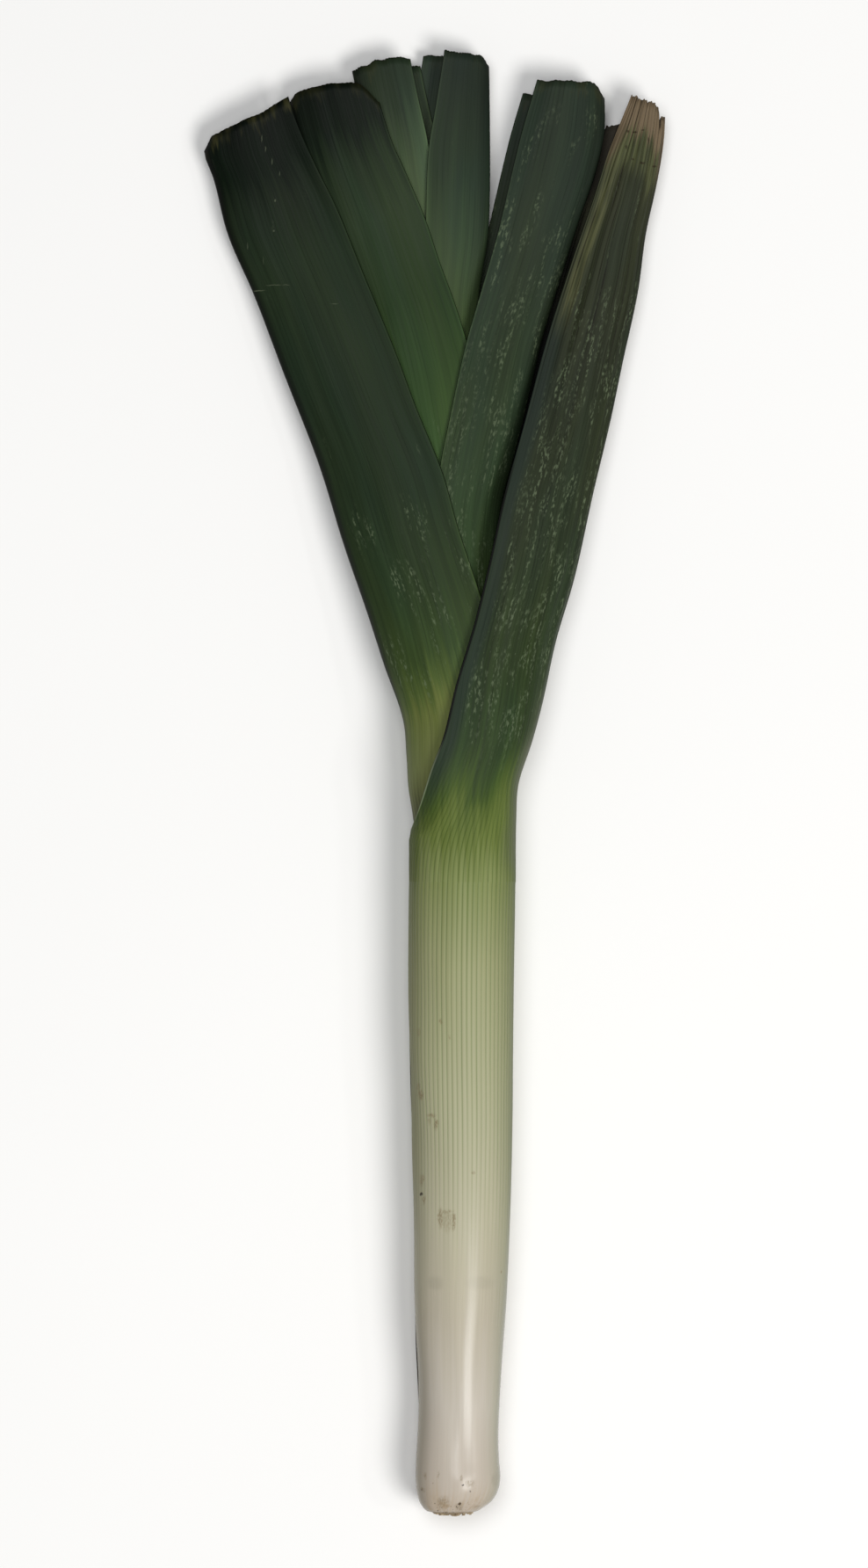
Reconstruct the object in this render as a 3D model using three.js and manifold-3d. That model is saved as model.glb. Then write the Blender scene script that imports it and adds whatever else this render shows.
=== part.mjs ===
// A leek lying on its side, as picked, washed and trimmed at both ends.
//
// Millimetres. +Y runs from the root end to the cut leaf tips, +X is the leek's right, +Z is up.
// The leek lies on the plane z = 0, and the origin is under the middle of its bounding box.
//
// The leaves stand in two ranks, right and left of the shaft. Each one starts as a sheath that is
// rolled round the younger ones, opens along a slanting margin, and goes on as a blade folded along
// its keel, with an upper half and an under half. The oldest leaf's sheath is the shaft's skin.
import * as THREE from 'three';
import { mergeVertices } from 'three/addons/utils/BufferGeometryUtils.js';
import Module from 'manifold-3d';

// ---------- driving dimensions ----------
const AXIS_X = 9.95;            // the shaft's axis at the neck
const NECK_RADIUS = 18.25;      // outside of the oldest sheath
const FLAT_DEPTH = 0.25;        // how far the underside is pressed flat
const AXIS_Z = NECK_RADIUS - FLAT_DEPTH;

const SHEATH_RADIUS = 17.6;     // middle of the oldest sheath's wall
const SHEATH_PITCH = 2.0;       // from one sheath's wall to the next
const SHEATH_WALL = 1.2;
const BLADE_THICKNESS = 0.8;

const MOUTH_Y = -19;            // where the oldest sheath starts to open
const SOCKET_FLOOR_Y = -34;     // the younger sheaths stand on this level
const SEAT_GAP = 0.4;
const SOCKET_RADIUS = 16.8;
const MOUTH_OVERLAP = 4;        // how far the oldest blade's foot is sunk in the sheath's collar

const FAN_HEIGHT = 9;           // middle of the fold at the leaf tips
const FAN_OPENING = 8.4;        // half the opening of the oldest leaf's fold at its tip
const FAN_PITCH = 1.2;          // how much less each younger leaf opens
const FAN_LEAN = 1.2;           // how much lower the fan's left side lies
const FLATTEN_FROM_Y = -20;
const FLATTEN_TO_Y = 200;
const SPREAD_TO_Y = 75;

const FOLD_SHARE = 0.7;         // share of a blade's width over which its fold rises
const FOLD_POWER = 1.55;        // 2 is a round fold, 1 a sharp one
const SLIT = 0.12;              // what a rolled sheath leaves open

const LEAF_COLUMNS = 8;         // from keel to margin, for each half
const LEAF_ROWS = 26;
const ROW_CROWDING = 1.4;       // above 1 sets the rows closer together near the neck
const SHAFT_SIDES = 40;

// The shaft from the root end to the neck: [y, axis x, radius].
const SHAFT_STATIONS = [
  [-248.7, 6.5, 8.9],
  [-247.6, 6.8, 10.3],
  [-245.4, 7.6, 12.4],
  [-242.3, 8.2, 13.8],
  [-238.0, 8.5, 14.5],
  [-232.0, 8.4, 14.2],
  [-225.0, 8.5, 13.8],
  [-216.0, 8.8, 13.7],
  [-206.0, 9.0, 14.1],
  [-190.0, 9.1, 15.0],
  [-174.0, 9.4, 15.7],
  [-158.0, 9.7, 16.2],
  [-140.0, 9.9, 16.7],
  [-116.0, 9.9, 17.2],
  [-88.0, 9.6, 17.7],
  [-60.0, 9.6, 18.05],
  [SOCKET_FLOOR_Y, AXIS_X, NECK_RADIUS],
  [MOUTH_Y, AXIS_X, NECK_RADIUS],
];
const LIFT_FROM_Y = -165;       // from here to the bulge the shaft's waist is off the table
const BULGE_Y = -238;
const BULGE_RADIUS = 14.5;
const LIFT_RADIUS = 15.98;

// The root plate, a low dome in the middle of the root end with trimmed root stubs on it.
const PLATE_RADIUS = 8.2;
const PLATE_DEPTH = 3.2;
const PLATE_GAP = 0.35;
const PLATE_CENTRE = [6.6, 14.2];
const PLATE_FACE_Y = -248.8;
const PLATE_DOME = 1.1;
const PLATE_SIDES = 24;
const STUB_RADIUS = 0.75;
const STUB_SINK = 1.4;
const STUB_RINGS = [[0, 1], [2.6, 6], [5.2, 12]];
const STUB_HEIGHTS = [0.3, 0.55, 0.4, 0.2, 0.5];

// The leaves from the oldest to the youngest. side is +1 where the keel lies to the right. keel and
// margin are outlines seen from above, [y, x]; underhang is how far the under half shows beyond the
// upper half's margin. tip and underTip give the cut end, [share of the width from the keel, y].
// sag is how far the upper half's margin sinks where it lies free, and the y where that starts and
// where it is all there.
const LEAVES = [
  {
    name: 'shaft_with_outer_leaf',
    side: 1,
    colour: 0xa3a97c,
    keel: [
      [-34, 28.2], [-12, 28.4], [-1, 29.1], [14, 33.9], [27, 37.4], [48, 42], [69, 48.2], [100, 55.1],
      [123, 60.6], [143, 64.8], [168, 70.2], [187, 72.8], [207, 77.1], [221, 78.9], [234, 79.2],
    ],
    margin: [
      [-19, -8.4], [-9, -4.8], [5, -0.4], [15, 3.4], [33, 7.8], [53, 13.8], [75, 19.2], [96, 23.8],
      [118, 30], [152, 39.2], [176, 46.8], [197, 54], [215, 60], [234.5, 67.8],
    ],
    underhang: 4.5,
    sag: { depth: 5.5, from: 85, to: 150 },
    tip: [[0, 226.5], [0.22, 231.6], [1, 234.5]],
    underTip: [[0, 226.5], [1, 224.8]],
  },
  {
    name: 'leaf_left_1',
    side: -1,
    colour: 0x3f4f36,
    keel: [
      [-34, -6.2], [-24, -6.2], [-17, -6.3], [-10, -7.2], [-2, -8.5], [8, -9.1], [21, -10.3],
      [40, -16.8], [57, -22.3], [81, -30.6], [108, -39], [140, -51.3], [167, -61.5], [187, -70.2],
      [207, -75.5], [214, -78.2], [234, -78.6],
    ],
    margin: [
      [-2, 27.4], [15, 27.2], [37, 23.7], [64, 15.9], [87, 8.4], [105, 3.3], [128, -5.9],
      [146, -12.6], [174, -24], [198, -33.8], [209, -39.3], [225, -46.5], [234, -49.5],
    ],
    underhang: 0,
    sag: { depth: 3.4, from: 130, to: 205 },
    tip: [[0, 214], [0.04, 219.5], [0.15, 221.7], [0.38, 225.2], [0.63, 228.2], [1, 234.2]],
    underTip: [[0, 214], [1, 223]],
  },
  {
    name: 'leaf_right_2',
    side: 1,
    colour: 0x435240,
    keel: [
      [-34, 24.4], [12, 24.4], [40, 23.5], [70, 22.4], [96, 23.8], [108, 27], [135, 33.6],
      [150, 37.2], [173, 44.1], [194, 50.7], [206, 54.9], [221, 58.4], [239, 58.6],
    ],
    margin: [
      [16, -4.2], [45, -2.5], [80, -0.6], [108, 2.4], [123, 5.4], [150, 11.3], [168, 16.5],
      [187, 21.9], [210, 27.3], [221, 30], [240, 35.6],
    ],
    underhang: 3.6,
    sag: { depth: 2.5, from: 165, to: 225 },
    tip: [[0, 232.7], [0.08, 237.8], [0.2, 239.1], [1, 239.5]],
    underTip: [[0, 232.7], [1, 236]],
  },
  {
    name: 'leaf_left_2',
    side: -1,
    colour: 0x465840,
    keel: [
      [-34, -2.6], [15, -2.6], [45, -5.5], [75, -9.5], [108, -15], [151, -24.3], [177, -32],
      [212, -44], [239, -51.5],
    ],
    margin: [
      [30, 21.6], [60, 19.6], [90, 18.6], [118, 17], [138, 14.6], [151, 11.3], [164, 7.2],
      [177, 2.4], [193, -3], [210, -10.2], [218, -13.8], [231, -18], [239, -20],
    ],
    underhang: 0,
    tip: [[0, 231.5], [0.1, 235.4], [0.3, 237.3], [0.67, 239], [0.88, 237.5], [1, 231.2]],
    underTip: [[0, 231.5], [1, 233]],
  },
  {
    name: 'leaf_right_3',
    side: 1,
    colour: 0x53664a,
    keel: [
      [-34, 20.6], [8, 20.6], [35, 19.2], [70, 16.9], [115, 15], [150, 15], [168, 15.9], [184, 18.6],
      [200, 19.5], [221, 19.6], [249, 19.2],
    ],
    margin: [
      [45, -0.3], [90, -1.5], [130, -2.3], [165, -2.7], [194, -2.5], [217, -1.5], [229, 0.5],
      [250, 3.9],
    ],
    underhang: 7,
    tip: [[0, 243.5], [0.12, 248.2], [1, 249.8]],
    underTip: [[0, 243.5], [0.3, 247.4], [1, 248.9]],
  },
  {
    name: 'leaf_left_3',
    side: -1,
    colour: 0x5f7250,
    keel: [
      [-34, 1.2], [35, 1.2], [72, -2.6], [117, -7.6], [162, -13.8], [192, -18.3], [219, -22.8],
      [248, -28.8],
    ],
    margin: [
      [55, 17], [90, 13.2], [117, 10.8], [150, 7.6], [180, 4], [205, 0.2], [219, -1.8],
      [234, -5.1], [248, -8],
    ],
    underhang: 3,
    tip: [[0, 243.2], [0.13, 244], [0.42, 246.5], [0.85, 247.8], [1, 246.8]],
    underTip: [[0, 243.2], [1, 245]],
  },
];

// ---------- small helpers ----------
const { clamp, lerp, smoothstep } = THREE.MathUtils;

// A smooth function through a few [position, value] points, held level past both ends.
function through(points) {
  const positions = points.map((point) => point[0]);
  const values = points.map((point) => point[1]);
  const spline = new THREE.CubicInterpolant(positions, values, 1);
  return (at) => spline.evaluate(clamp(at, positions[0], positions.at(-1)))[0];
}

// A function of straight stretches through a few [position, value] points.
function straightThrough(points) {
  const positions = points.map((point) => point[0]);
  const values = points.map((point) => point[1]);
  const line = new THREE.LinearInterpolant(positions, values, 1);
  return (at) => line.evaluate(clamp(at, positions[0], positions.at(-1)))[0];
}

function geometryOf(points, triangles) {
  const geometry = new THREE.BufferGeometry();
  geometry.setAttribute('position', new THREE.Float32BufferAttribute(points.flat(), 3));
  geometry.setIndex(triangles.flat());
  return geometry;
}

// ---------- the form that all leaves share ----------
const flattening = (y) => smoothstep(y, FLATTEN_FROM_Y, FLATTEN_TO_Y);
const spreading = (y) => smoothstep(y, MOUTH_Y, SPREAD_TO_Y);
const wallAt = (y) => lerp(SHEATH_WALL, BLADE_THICKNESS, spreading(y));

// Height of the fold's middle: level with the shaft's axis at the neck, low at the tips.
function middleHeight(x, y) {
  const lean = FAN_LEAN * smoothstep(-x, 10, 60);
  return lerp(AXIS_Z, FAN_HEIGHT - lean, flattening(y));
}

// How a fold rises from 0 at its edge to 1: a quarter circle in the sheath, sharper in the blade.
function fold(distance, reach, y) {
  if (distance <= 0) return 0;
  if (distance >= reach) return 1;
  const power = lerp(2, FOLD_POWER, spreading(y));
  return (1 - (1 - distance / reach) ** power) ** (1 / power);
}

// Adds to each leaf the functions that place its sheet.
function describe(leaf, order) {
  const outer = LEAVES[order - 1];
  const keelLine = through(leaf.keel);
  const marginLine = through(leaf.margin);
  const radius = SHEATH_RADIUS - order * SHEATH_PITCH;
  const opening = FAN_OPENING - order * FAN_PITCH;
  const side = leaf.side;

  leaf.keelAt = (y) => keelLine(y) - side * wallAt(y) / 2;
  // The sheath closes just inside the keel of the leaf around it.
  leaf.closingAt = (y) => (outer
    ? outer.keelAt(y) + side * SHEATH_PITCH
    : Math.min(AXIS_X - radius, LEAVES[1].keelAt(y) - SHEATH_PITCH));
  leaf.marginAt = (y, hang) => {
    const line = y < leaf.margin[0][0] ? -side * Infinity : marginLine(y) - side * hang;
    const limit = leaf.closingAt(y) + side * SLIT;
    return side > 0 ? Math.max(line, limit) : Math.min(line, limit);
  };
  leaf.reachAt = (y) => {
    const width = Math.abs(leaf.marginAt(y, 0) - leaf.keelAt(y));
    return lerp(radius, FOLD_SHARE * width, spreading(y));
  };
  leaf.halfOpening = (x, y) => {
    const height = lerp(radius, opening, flattening(y));
    const closingReach = outer ? outer.reachAt(y) - SHEATH_PITCH * (1 - spreading(y)) : radius;
    const fromKeel = fold(side * (leaf.keelAt(y) - x), leaf.reachAt(y), y);
    const fromClosing = fold(side * (x - leaf.closingAt(y)), closingReach, y);
    return height * fromKeel * fromClosing;
  };
  leaf.tipAt = straightThrough(leaf.tip);
  leaf.underTipAt = straightThrough(leaf.underTip);
  leaf.hangAt = (y) => leaf.underhang * smoothstep(y, SPREAD_TO_Y, FLATTEN_TO_Y);
  const { depth = 0, from = 0, to = 1 } = leaf.sag ?? {};
  leaf.sagAt = (y) => depth * smoothstep(y, from, to);
}
LEAVES.forEach(describe);

// A point of the sheet's middle: along goes from 0 at the sheath's foot to 1 at the cut tip, across
// from -1 at the upper margin by 0 at the keel to 1 at the under margin.
function sheetPoint(leaf, along, across, startY) {
  const share = Math.abs(across);
  const under = across > 0;
  const rolled = (1 - Math.cos(Math.PI * share)) / 2;
  const folded = 1 - Math.cos(Math.PI * share / 2);
  const tipY = under ? leaf.underTipAt(folded) : leaf.tipAt(folded);
  const y = lerp(startY, tipY, along ** ROW_CROWDING);
  const step = lerp(rolled, folded, spreading(y));
  const x = lerp(leaf.keelAt(y), leaf.marginAt(y, under ? leaf.hangAt(y) : 0), step);
  const rise = under ? -leaf.halfOpening(x, y) : leaf.halfOpening(x, y) - leaf.sagAt(y) * step ** 2;
  return new THREE.Vector3(x, y, middleHeight(x, y) + rise);
}

// Both faces of the sheet: [row][column] points, each half a wall away from the middle.
function sheetFaces(leaf, startY) {
  const faces = [[], []];
  const across = (column) => clamp(column / LEAF_COLUMNS, -1, 1);
  for (let row = 0; row <= LEAF_ROWS; row += 1) {
    const point = (column) => sheetPoint(leaf, row / LEAF_ROWS, across(column), startY);
    const rows = [[], []];
    for (let column = -LEAF_COLUMNS; column <= LEAF_COLUMNS; column += 1) {
      const here = point(column);
      const run = point(column + 1).sub(point(column - 1));
      const length = Math.hypot(run.x, run.z);
      const half = leaf.side * wallAt(here.y) / 2 / length;
      [half, -half].forEach((reach, face) => {
        const z = Math.max(here.z + run.x * reach, 0);
        rows[face].push([here.x - run.z * reach, here.y, z]);
      });
    }
    rows.forEach((points, face) => faces[face].push(points));
  }
  return faces;
}

// Closes the two faces of a sheet into one thin solid, with both faces split alike.
function sheetGeometry(leaf, startY) {
  const faces = sheetFaces(leaf, startY);
  const columns = 2 * LEAF_COLUMNS + 1;
  const rows = LEAF_ROWS + 1;
  const index = (face, row, column) => (face * rows + row) * columns + column;
  const triangles = [];
  const quad = (a, b, c, d) => {
    const corners = leaf.side > 0 ? [[a, b, c], [a, c, d]] : [[a, c, b], [a, d, c]];
    triangles.push(...corners);
  };
  for (let row = 0; row < rows - 1; row += 1) {
    for (let column = 0; column < columns - 1; column += 1) {
      const ring = (face) => [
        index(face, row, column), index(face, row, column + 1),
        index(face, row + 1, column + 1), index(face, row + 1, column),
      ];
      const [a, b, c, d] = ring(0);
      const [e, f, g, h] = ring(1);
      quad(a, b, c, d);
      quad(g, f, e, h);
    }
    const last = columns - 1;
    quad(index(1, row, 0), index(0, row, 0), index(0, row + 1, 0), index(1, row + 1, 0));
    quad(index(0, row, last), index(1, row, last), index(1, row + 1, last), index(0, row + 1, last));
  }
  for (let column = 0; column < columns - 1; column += 1) {
    const next = column + 1;
    quad(index(1, 0, column), index(1, 0, next), index(0, 0, next), index(0, 0, column));
    const end = rows - 1;
    quad(index(0, end, column), index(0, end, next), index(1, end, next), index(1, end, column));
  }
  return geometryOf(faces.flat(2), triangles);
}

// ---------- the shaft ----------
// The axis height that keeps the underside on the table, but for the waist above the root end.
function axisHeight(y, radius) {
  if (y > LIFT_FROM_Y) return radius - FLAT_DEPTH;
  const share = clamp((LIFT_FROM_Y - y) / (LIFT_FROM_Y - BULGE_Y), 0, 1);
  return lerp(LIFT_RADIUS, BULGE_RADIUS, share) - FLAT_DEPTH;
}

// Rings of points, each [y, x, z, radius], skinned into one solid between two pole points.
function ringsGeometry(rings, sides, startPole, endPole) {
  const points = [startPole];
  rings.forEach(([y, x, z, radius]) => {
    for (let side = 0; side < sides; side += 1) {
      const angle = (side / sides) * 2 * Math.PI - Math.PI / 2;
      const height = z + radius * Math.sin(angle);
      points.push([x + radius * Math.cos(angle), y, Math.max(height, 0)]);
    }
  });
  points.push(endPole);
  const index = (ring, side) => 1 + ring * sides + (side % sides);
  const triangles = [];
  for (let side = 0; side < sides; side += 1) {
    triangles.push([0, index(0, side), index(0, side + 1)]);
    for (let ring = 0; ring < rings.length - 1; ring += 1) {
      const [a, b] = [index(ring, side), index(ring, side + 1)];
      const [c, d] = [index(ring + 1, side + 1), index(ring + 1, side)];
      triangles.push([a, c, b], [a, d, c]);
    }
    const last = rings.length - 1;
    triangles.push([points.length - 1, index(last, side + 1), index(last, side)]);
  }
  return geometryOf(points, triangles);
}

// The solid shaft, with the rolled mouth of the oldest sheath standing up as a collar round the
// socket of the younger ones, and a shallow recess for the root plate.
function shaftGeometry() {
  const [plateX, plateZ] = PLATE_CENTRE;
  const recessRadius = PLATE_RADIUS + PLATE_GAP;
  const recessY = PLATE_FACE_Y + PLATE_DEPTH;
  const rings = [
    [recessY, plateX, plateZ, recessRadius],
    [PLATE_FACE_Y + 0.6, plateX, plateZ, recessRadius],
  ];
  SHAFT_STATIONS.filter(([, , radius]) => radius > recessRadius).forEach(([y, x, radius]) => {
    rings.push([y, x, axisHeight(y, radius), radius]);
  });
  rings.push([MOUTH_Y, AXIS_X, AXIS_Z, SOCKET_RADIUS]);
  rings.push([SOCKET_FLOOR_Y, AXIS_X, AXIS_Z, SOCKET_RADIUS]);
  return ringsGeometry(
    rings,
    SHAFT_SIDES,
    [plateX, recessY, plateZ],
    [AXIS_X, SOCKET_FLOOR_Y, AXIS_Z],
  );
}

// ---------- the root plate ----------
function plateGeometry() {
  const [x, z] = PLATE_CENTRE;
  const rings = [0.55, 0.85, 1].map((share) => {
    const y = PLATE_FACE_Y - PLATE_DOME * (1 - share ** 2);
    return [y, x, z, PLATE_RADIUS * share];
  });
  const backY = PLATE_FACE_Y + PLATE_DEPTH - PLATE_GAP;
  rings.push([backY, x, z, PLATE_RADIUS]);
  return ringsGeometry(rings, PLATE_SIDES, [x, PLATE_FACE_Y - PLATE_DOME, z], [x, backY, z]);
}

// Short stubs of the cut roots, in rings round the plate's middle.
function stubGeometries() {
  const stubs = [];
  STUB_RINGS.forEach(([distance, count]) => {
    for (let turn = 0; turn < count; turn += 1) {
      const angle = (turn / count) * 2 * Math.PI + distance;
      const share = distance / PLATE_RADIUS;
      const height = STUB_HEIGHTS[stubs.length % STUB_HEIGHTS.length];
      const face = PLATE_FACE_Y - PLATE_DOME * (1 - share ** 2);
      const stub = new THREE.CylinderGeometry(STUB_RADIUS, STUB_RADIUS, STUB_SINK + height, 7);
      stub.translate(
        PLATE_CENTRE[0] + distance * Math.cos(angle),
        face + (STUB_SINK - height) / 2,
        PLATE_CENTRE[1] + distance * Math.sin(angle),
      );
      stubs.push(stub);
    }
  });
  return stubs;
}

// ---------- joining ----------
const wasm = await Module();
wasm.setup();

function solidOf(geometry) {
  const bare = geometry.clone();
  bare.deleteAttribute('normal');
  bare.deleteAttribute('uv');
  const merged = mergeVertices(bare, 1e-4);
  const vertProperties = new Float32Array(merged.getAttribute('position').array);
  const triVerts = new Uint32Array(merged.getIndex().array);
  return new wasm.Manifold(new wasm.Mesh({ numProp: 3, vertProperties, triVerts }));
}

function joined(geometries) {
  const solid = geometries.map(solidOf).reduce((sum, next) => sum.add(next));
  const mesh = solid.getMesh();
  const geometry = new THREE.BufferGeometry();
  geometry.setAttribute('position', new THREE.Float32BufferAttribute(mesh.vertProperties, 3));
  geometry.setIndex(Array.from(mesh.triVerts));
  return geometry;
}

// ---------- the leek ----------
const leek = new THREE.Group();
leek.name = 'leek';

function place(name, geometry, colour, roughness) {
  geometry.computeVertexNormals();
  const material = new THREE.MeshStandardMaterial({ color: colour, roughness, metalness: 0 });
  const mesh = new THREE.Mesh(geometry, material);
  mesh.name = name;
  leek.add(mesh);
}

const [oldest, ...younger] = LEAVES;
place(
  oldest.name,
  joined([shaftGeometry(), sheetGeometry(oldest, MOUTH_Y - MOUTH_OVERLAP)]),
  oldest.colour,
  0.45,
);
younger.forEach((leaf) => {
  place(leaf.name, sheetGeometry(leaf, SOCKET_FLOOR_Y + SEAT_GAP), leaf.colour, 0.45);
});
place('root_plate', joined([plateGeometry(), ...stubGeometries()]), 0x9a8468, 0.8);

export default leek;
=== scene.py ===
import math

import bmesh
import bpy
import numpy as np
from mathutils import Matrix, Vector


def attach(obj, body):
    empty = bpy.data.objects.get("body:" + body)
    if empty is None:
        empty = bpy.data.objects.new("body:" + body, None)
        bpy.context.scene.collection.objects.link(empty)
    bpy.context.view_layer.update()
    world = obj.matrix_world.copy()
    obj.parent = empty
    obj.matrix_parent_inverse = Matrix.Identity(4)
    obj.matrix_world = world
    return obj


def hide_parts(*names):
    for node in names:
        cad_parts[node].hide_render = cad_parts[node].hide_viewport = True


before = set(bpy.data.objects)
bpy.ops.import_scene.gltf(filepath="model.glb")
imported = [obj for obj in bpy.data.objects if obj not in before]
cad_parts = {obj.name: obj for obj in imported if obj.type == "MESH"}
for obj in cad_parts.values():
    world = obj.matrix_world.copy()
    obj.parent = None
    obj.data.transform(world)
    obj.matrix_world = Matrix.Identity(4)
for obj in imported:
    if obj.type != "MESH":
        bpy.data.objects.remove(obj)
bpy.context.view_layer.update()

MM = 0.001

# ---------- the part's own dimensions, as in its source ----------
AXIS_X = 9.95
NECK_RADIUS = 18.25
FLAT_DEPTH = 0.25
AXIS_Z = NECK_RADIUS - FLAT_DEPTH
SHEATH_RADIUS = 17.6
SHEATH_PITCH = 2.0
SHEATH_WALL = 1.2
BLADE_THICKNESS = 0.8
MOUTH_Y = -19.0
SOCKET_FLOOR_Y = -34.0
SEAT_GAP = 0.4
FAN_HEIGHT = 9.0
FAN_OPENING = 8.4
FAN_PITCH = 1.2
FAN_LEAN = 1.2
FLATTEN = (-20.0, 200.0)
SPREAD = (MOUTH_Y, 75.0)
FOLD_SHARE = 0.7
FOLD_POWER = 1.55
SWELL = 0.55                    # the fan's shared unevenness
SWELL_RISE = (30, 150)
SWELL_PITCHES = (110, 95)
SWELL_SEED = 11
LEAN_RISE = (10, 60)

SHAFT_STATIONS = [
    (-248.7, 6.5, 8.9), (-247.6, 6.8, 10.3), (-245.4, 7.6, 12.4), (-242.3, 8.2, 13.8),
    (-238.0, 8.5, 14.5), (-232.0, 8.4, 14.2), (-225.0, 8.5, 13.8), (-216.0, 8.8, 13.7),
    (-206.0, 9.0, 14.1), (-190.0, 9.1, 15.0), (-174.0, 9.4, 15.7), (-158.0, 9.7, 16.2),
    (-140.0, 9.9, 16.7), (-116.0, 9.9, 17.2), (-88.0, 9.6, 17.7), (-60.0, 9.6, 18.05),
    (SOCKET_FLOOR_Y, AXIS_X, SHEATH_RADIUS + SHEATH_WALL / 2),
]
LIFT_FROM_Y, BULGE_Y = -165.0, -238.0
LIFT_RADIUS, BULGE_RADIUS = 15.98, 14.5

PLATE_CENTRE = (6.6, 14.2)
PLATE_RADIUS = 8.2
PLATE_DEPTH = 3.2
PLATE_GAP = 0.35
PLATE_FACE_Y = -248.8
PLATE_DOME = 1.1
RECESS_STEPS = (1.6, 0.5)       # rings on the recess's wall, below its rim

# The leaves from the oldest to the youngest: keel and margin outlines as (y, x), the cut tip as
# (share of the width from the keel, y), and how far the upper margin sags, from one y to another.
LEAVES = [
    dict(
        node="shaft_with_outer_leaf", side=1, underhang=4.5, sag=(5.5, 85, 150),
        keel=[(-34, 28.2), (-12, 28.4), (-1, 29.1), (14, 33.9), (27, 37.4), (48, 42), (69, 48.2),
              (100, 55.1), (123, 60.6), (143, 64.8), (168, 70.2), (187, 72.8), (207, 77.1),
              (221, 78.9), (234, 79.2)],
        margin=[(-19, -8.4), (-9, -4.8), (5, -0.4), (15, 3.4), (33, 7.8), (53, 13.8), (75, 19.2),
                (96, 23.8), (118, 30), (152, 39.2), (176, 46.8), (197, 54), (215, 60),
                (234.5, 67.8)],
        tip=[(0, 226.5), (0.22, 231.6), (1, 234.5)],
        under_tip=[(0, 226.5), (1, 224.8)],
    ),
    dict(
        node="leaf_left_1", side=-1, underhang=0, sag=(3.4, 130, 205),
        keel=[(-34, -6.2), (-24, -6.2), (-17, -6.3), (-10, -7.2), (-2, -8.5), (8, -9.1),
              (21, -10.3), (40, -16.8), (57, -22.3), (81, -30.6), (108, -39), (140, -51.3),
              (167, -61.5), (187, -70.2), (207, -75.5), (214, -78.2), (234, -78.6)],
        margin=[(-2, 27.4), (15, 27.2), (37, 23.7), (64, 15.9), (87, 8.4), (105, 3.3),
                (128, -5.9), (146, -12.6), (174, -24), (198, -33.8), (209, -39.3), (225, -46.5),
                (234, -49.5)],
        tip=[(0, 214), (0.04, 219.5), (0.15, 221.7), (0.38, 225.2), (0.63, 228.2), (1, 234.2)],
        under_tip=[(0, 214), (1, 223)],
    ),
    dict(
        node="leaf_right_2", side=1, underhang=3.6, sag=(2.5, 165, 225),
        keel=[(-34, 24.4), (12, 24.4), (40, 23.5), (70, 22.4), (96, 23.8), (108, 27),
              (135, 33.6), (150, 37.2), (173, 44.1), (194, 50.7), (206, 54.9), (221, 58.4),
              (239, 58.6)],
        margin=[(16, -4.2), (45, -2.5), (80, -0.6), (108, 2.4), (123, 5.4), (150, 11.3),
                (168, 16.5), (187, 21.9), (210, 27.3), (221, 30), (240, 35.6)],
        tip=[(0, 232.7), (0.08, 237.8), (0.2, 239.1), (1, 239.5)],
        under_tip=[(0, 232.7), (1, 236)],
    ),
    dict(
        node="leaf_left_2", side=-1, underhang=0,
        keel=[(-34, -2.6), (15, -2.6), (45, -5.5), (75, -9.5), (108, -15), (151, -24.3),
              (177, -32), (212, -44), (239, -51.5)],
        margin=[(30, 21.6), (60, 19.6), (90, 18.6), (118, 17), (138, 14.6), (151, 11.3),
                (164, 7.2), (177, 2.4), (193, -3), (210, -10.2), (218, -13.8), (231, -18),
                (239, -20)],
        tip=[(0, 231.5), (0.1, 235.4), (0.3, 237.3), (0.67, 239), (0.88, 237.5), (1, 231.2)],
        under_tip=[(0, 231.5), (1, 233)],
    ),
    dict(
        node="leaf_right_3", side=1, underhang=7,
        keel=[(-34, 20.6), (8, 20.6), (35, 19.2), (70, 16.9), (115, 15), (150, 15),
              (168, 15.9), (184, 18.6), (200, 19.5), (221, 19.6), (249, 19.2)],
        margin=[(45, -0.3), (90, -1.5), (130, -2.3), (165, -2.7), (194, -2.5), (217, -1.5),
                (229, 0.5), (250, 3.9)],
        tip=[(0, 243.5), (0.12, 248.2), (1, 249.8)],
        under_tip=[(0, 243.5), (0.3, 247.4), (1, 248.9)],
    ),
    dict(
        node="leaf_left_3", side=-1, underhang=3,
        keel=[(-34, 1.2), (35, 1.2), (72, -2.6), (117, -7.6), (162, -13.8), (192, -18.3),
              (219, -22.8), (248, -28.8)],
        margin=[(55, 17), (90, 13.2), (117, 10.8), (150, 7.6), (180, 4), (205, 0.2),
                (219, -1.8), (234, -5.1), (248, -8)],
        tip=[(0, 243.2), (0.13, 244), (0.42, 246.5), (0.85, 247.8), (1, 246.8)],
        under_tip=[(0, 243.2), (1, 245)],
    ),
]

# ---------- the finer form that only this script gives ----------
RIBS_PER_HALF = 32              # of the oldest leaf, all round the shank and on into its blade
VEINS_PER_HALF = 24             # of a younger leaf
RIB_EASE = 9.0                  # how far ahead of the mouth the ribs start to bend
SHANK_COLUMNS = 176             # for each half of the oldest leaf
LEAF_COLUMNS = 90               # for each half of a younger leaf
SHANK_ROWS = 84
BLADE_ROWS = 116
LEAF_ROWS = 120
ROW_CROWDING = 1.2
OPEN_AFTER = 100.0              # a blade lies open this far beyond its mouth
RIB_DEPTH = 0.09                # grooves of the shank
VEIN_DEPTH = 0.04               # grooves of the blades
MARGIN_TAPER = 5.0              # a blade thins over this distance from its margin
MARGIN_THICKNESS = 0.35         # share of the thickness left at the margin
TIP_EASE = 60.0                 # the cut's slant fades over this length
TIP_ROUNDING = 0.05             # share of the width over which a cut's corners are rounded
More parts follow.
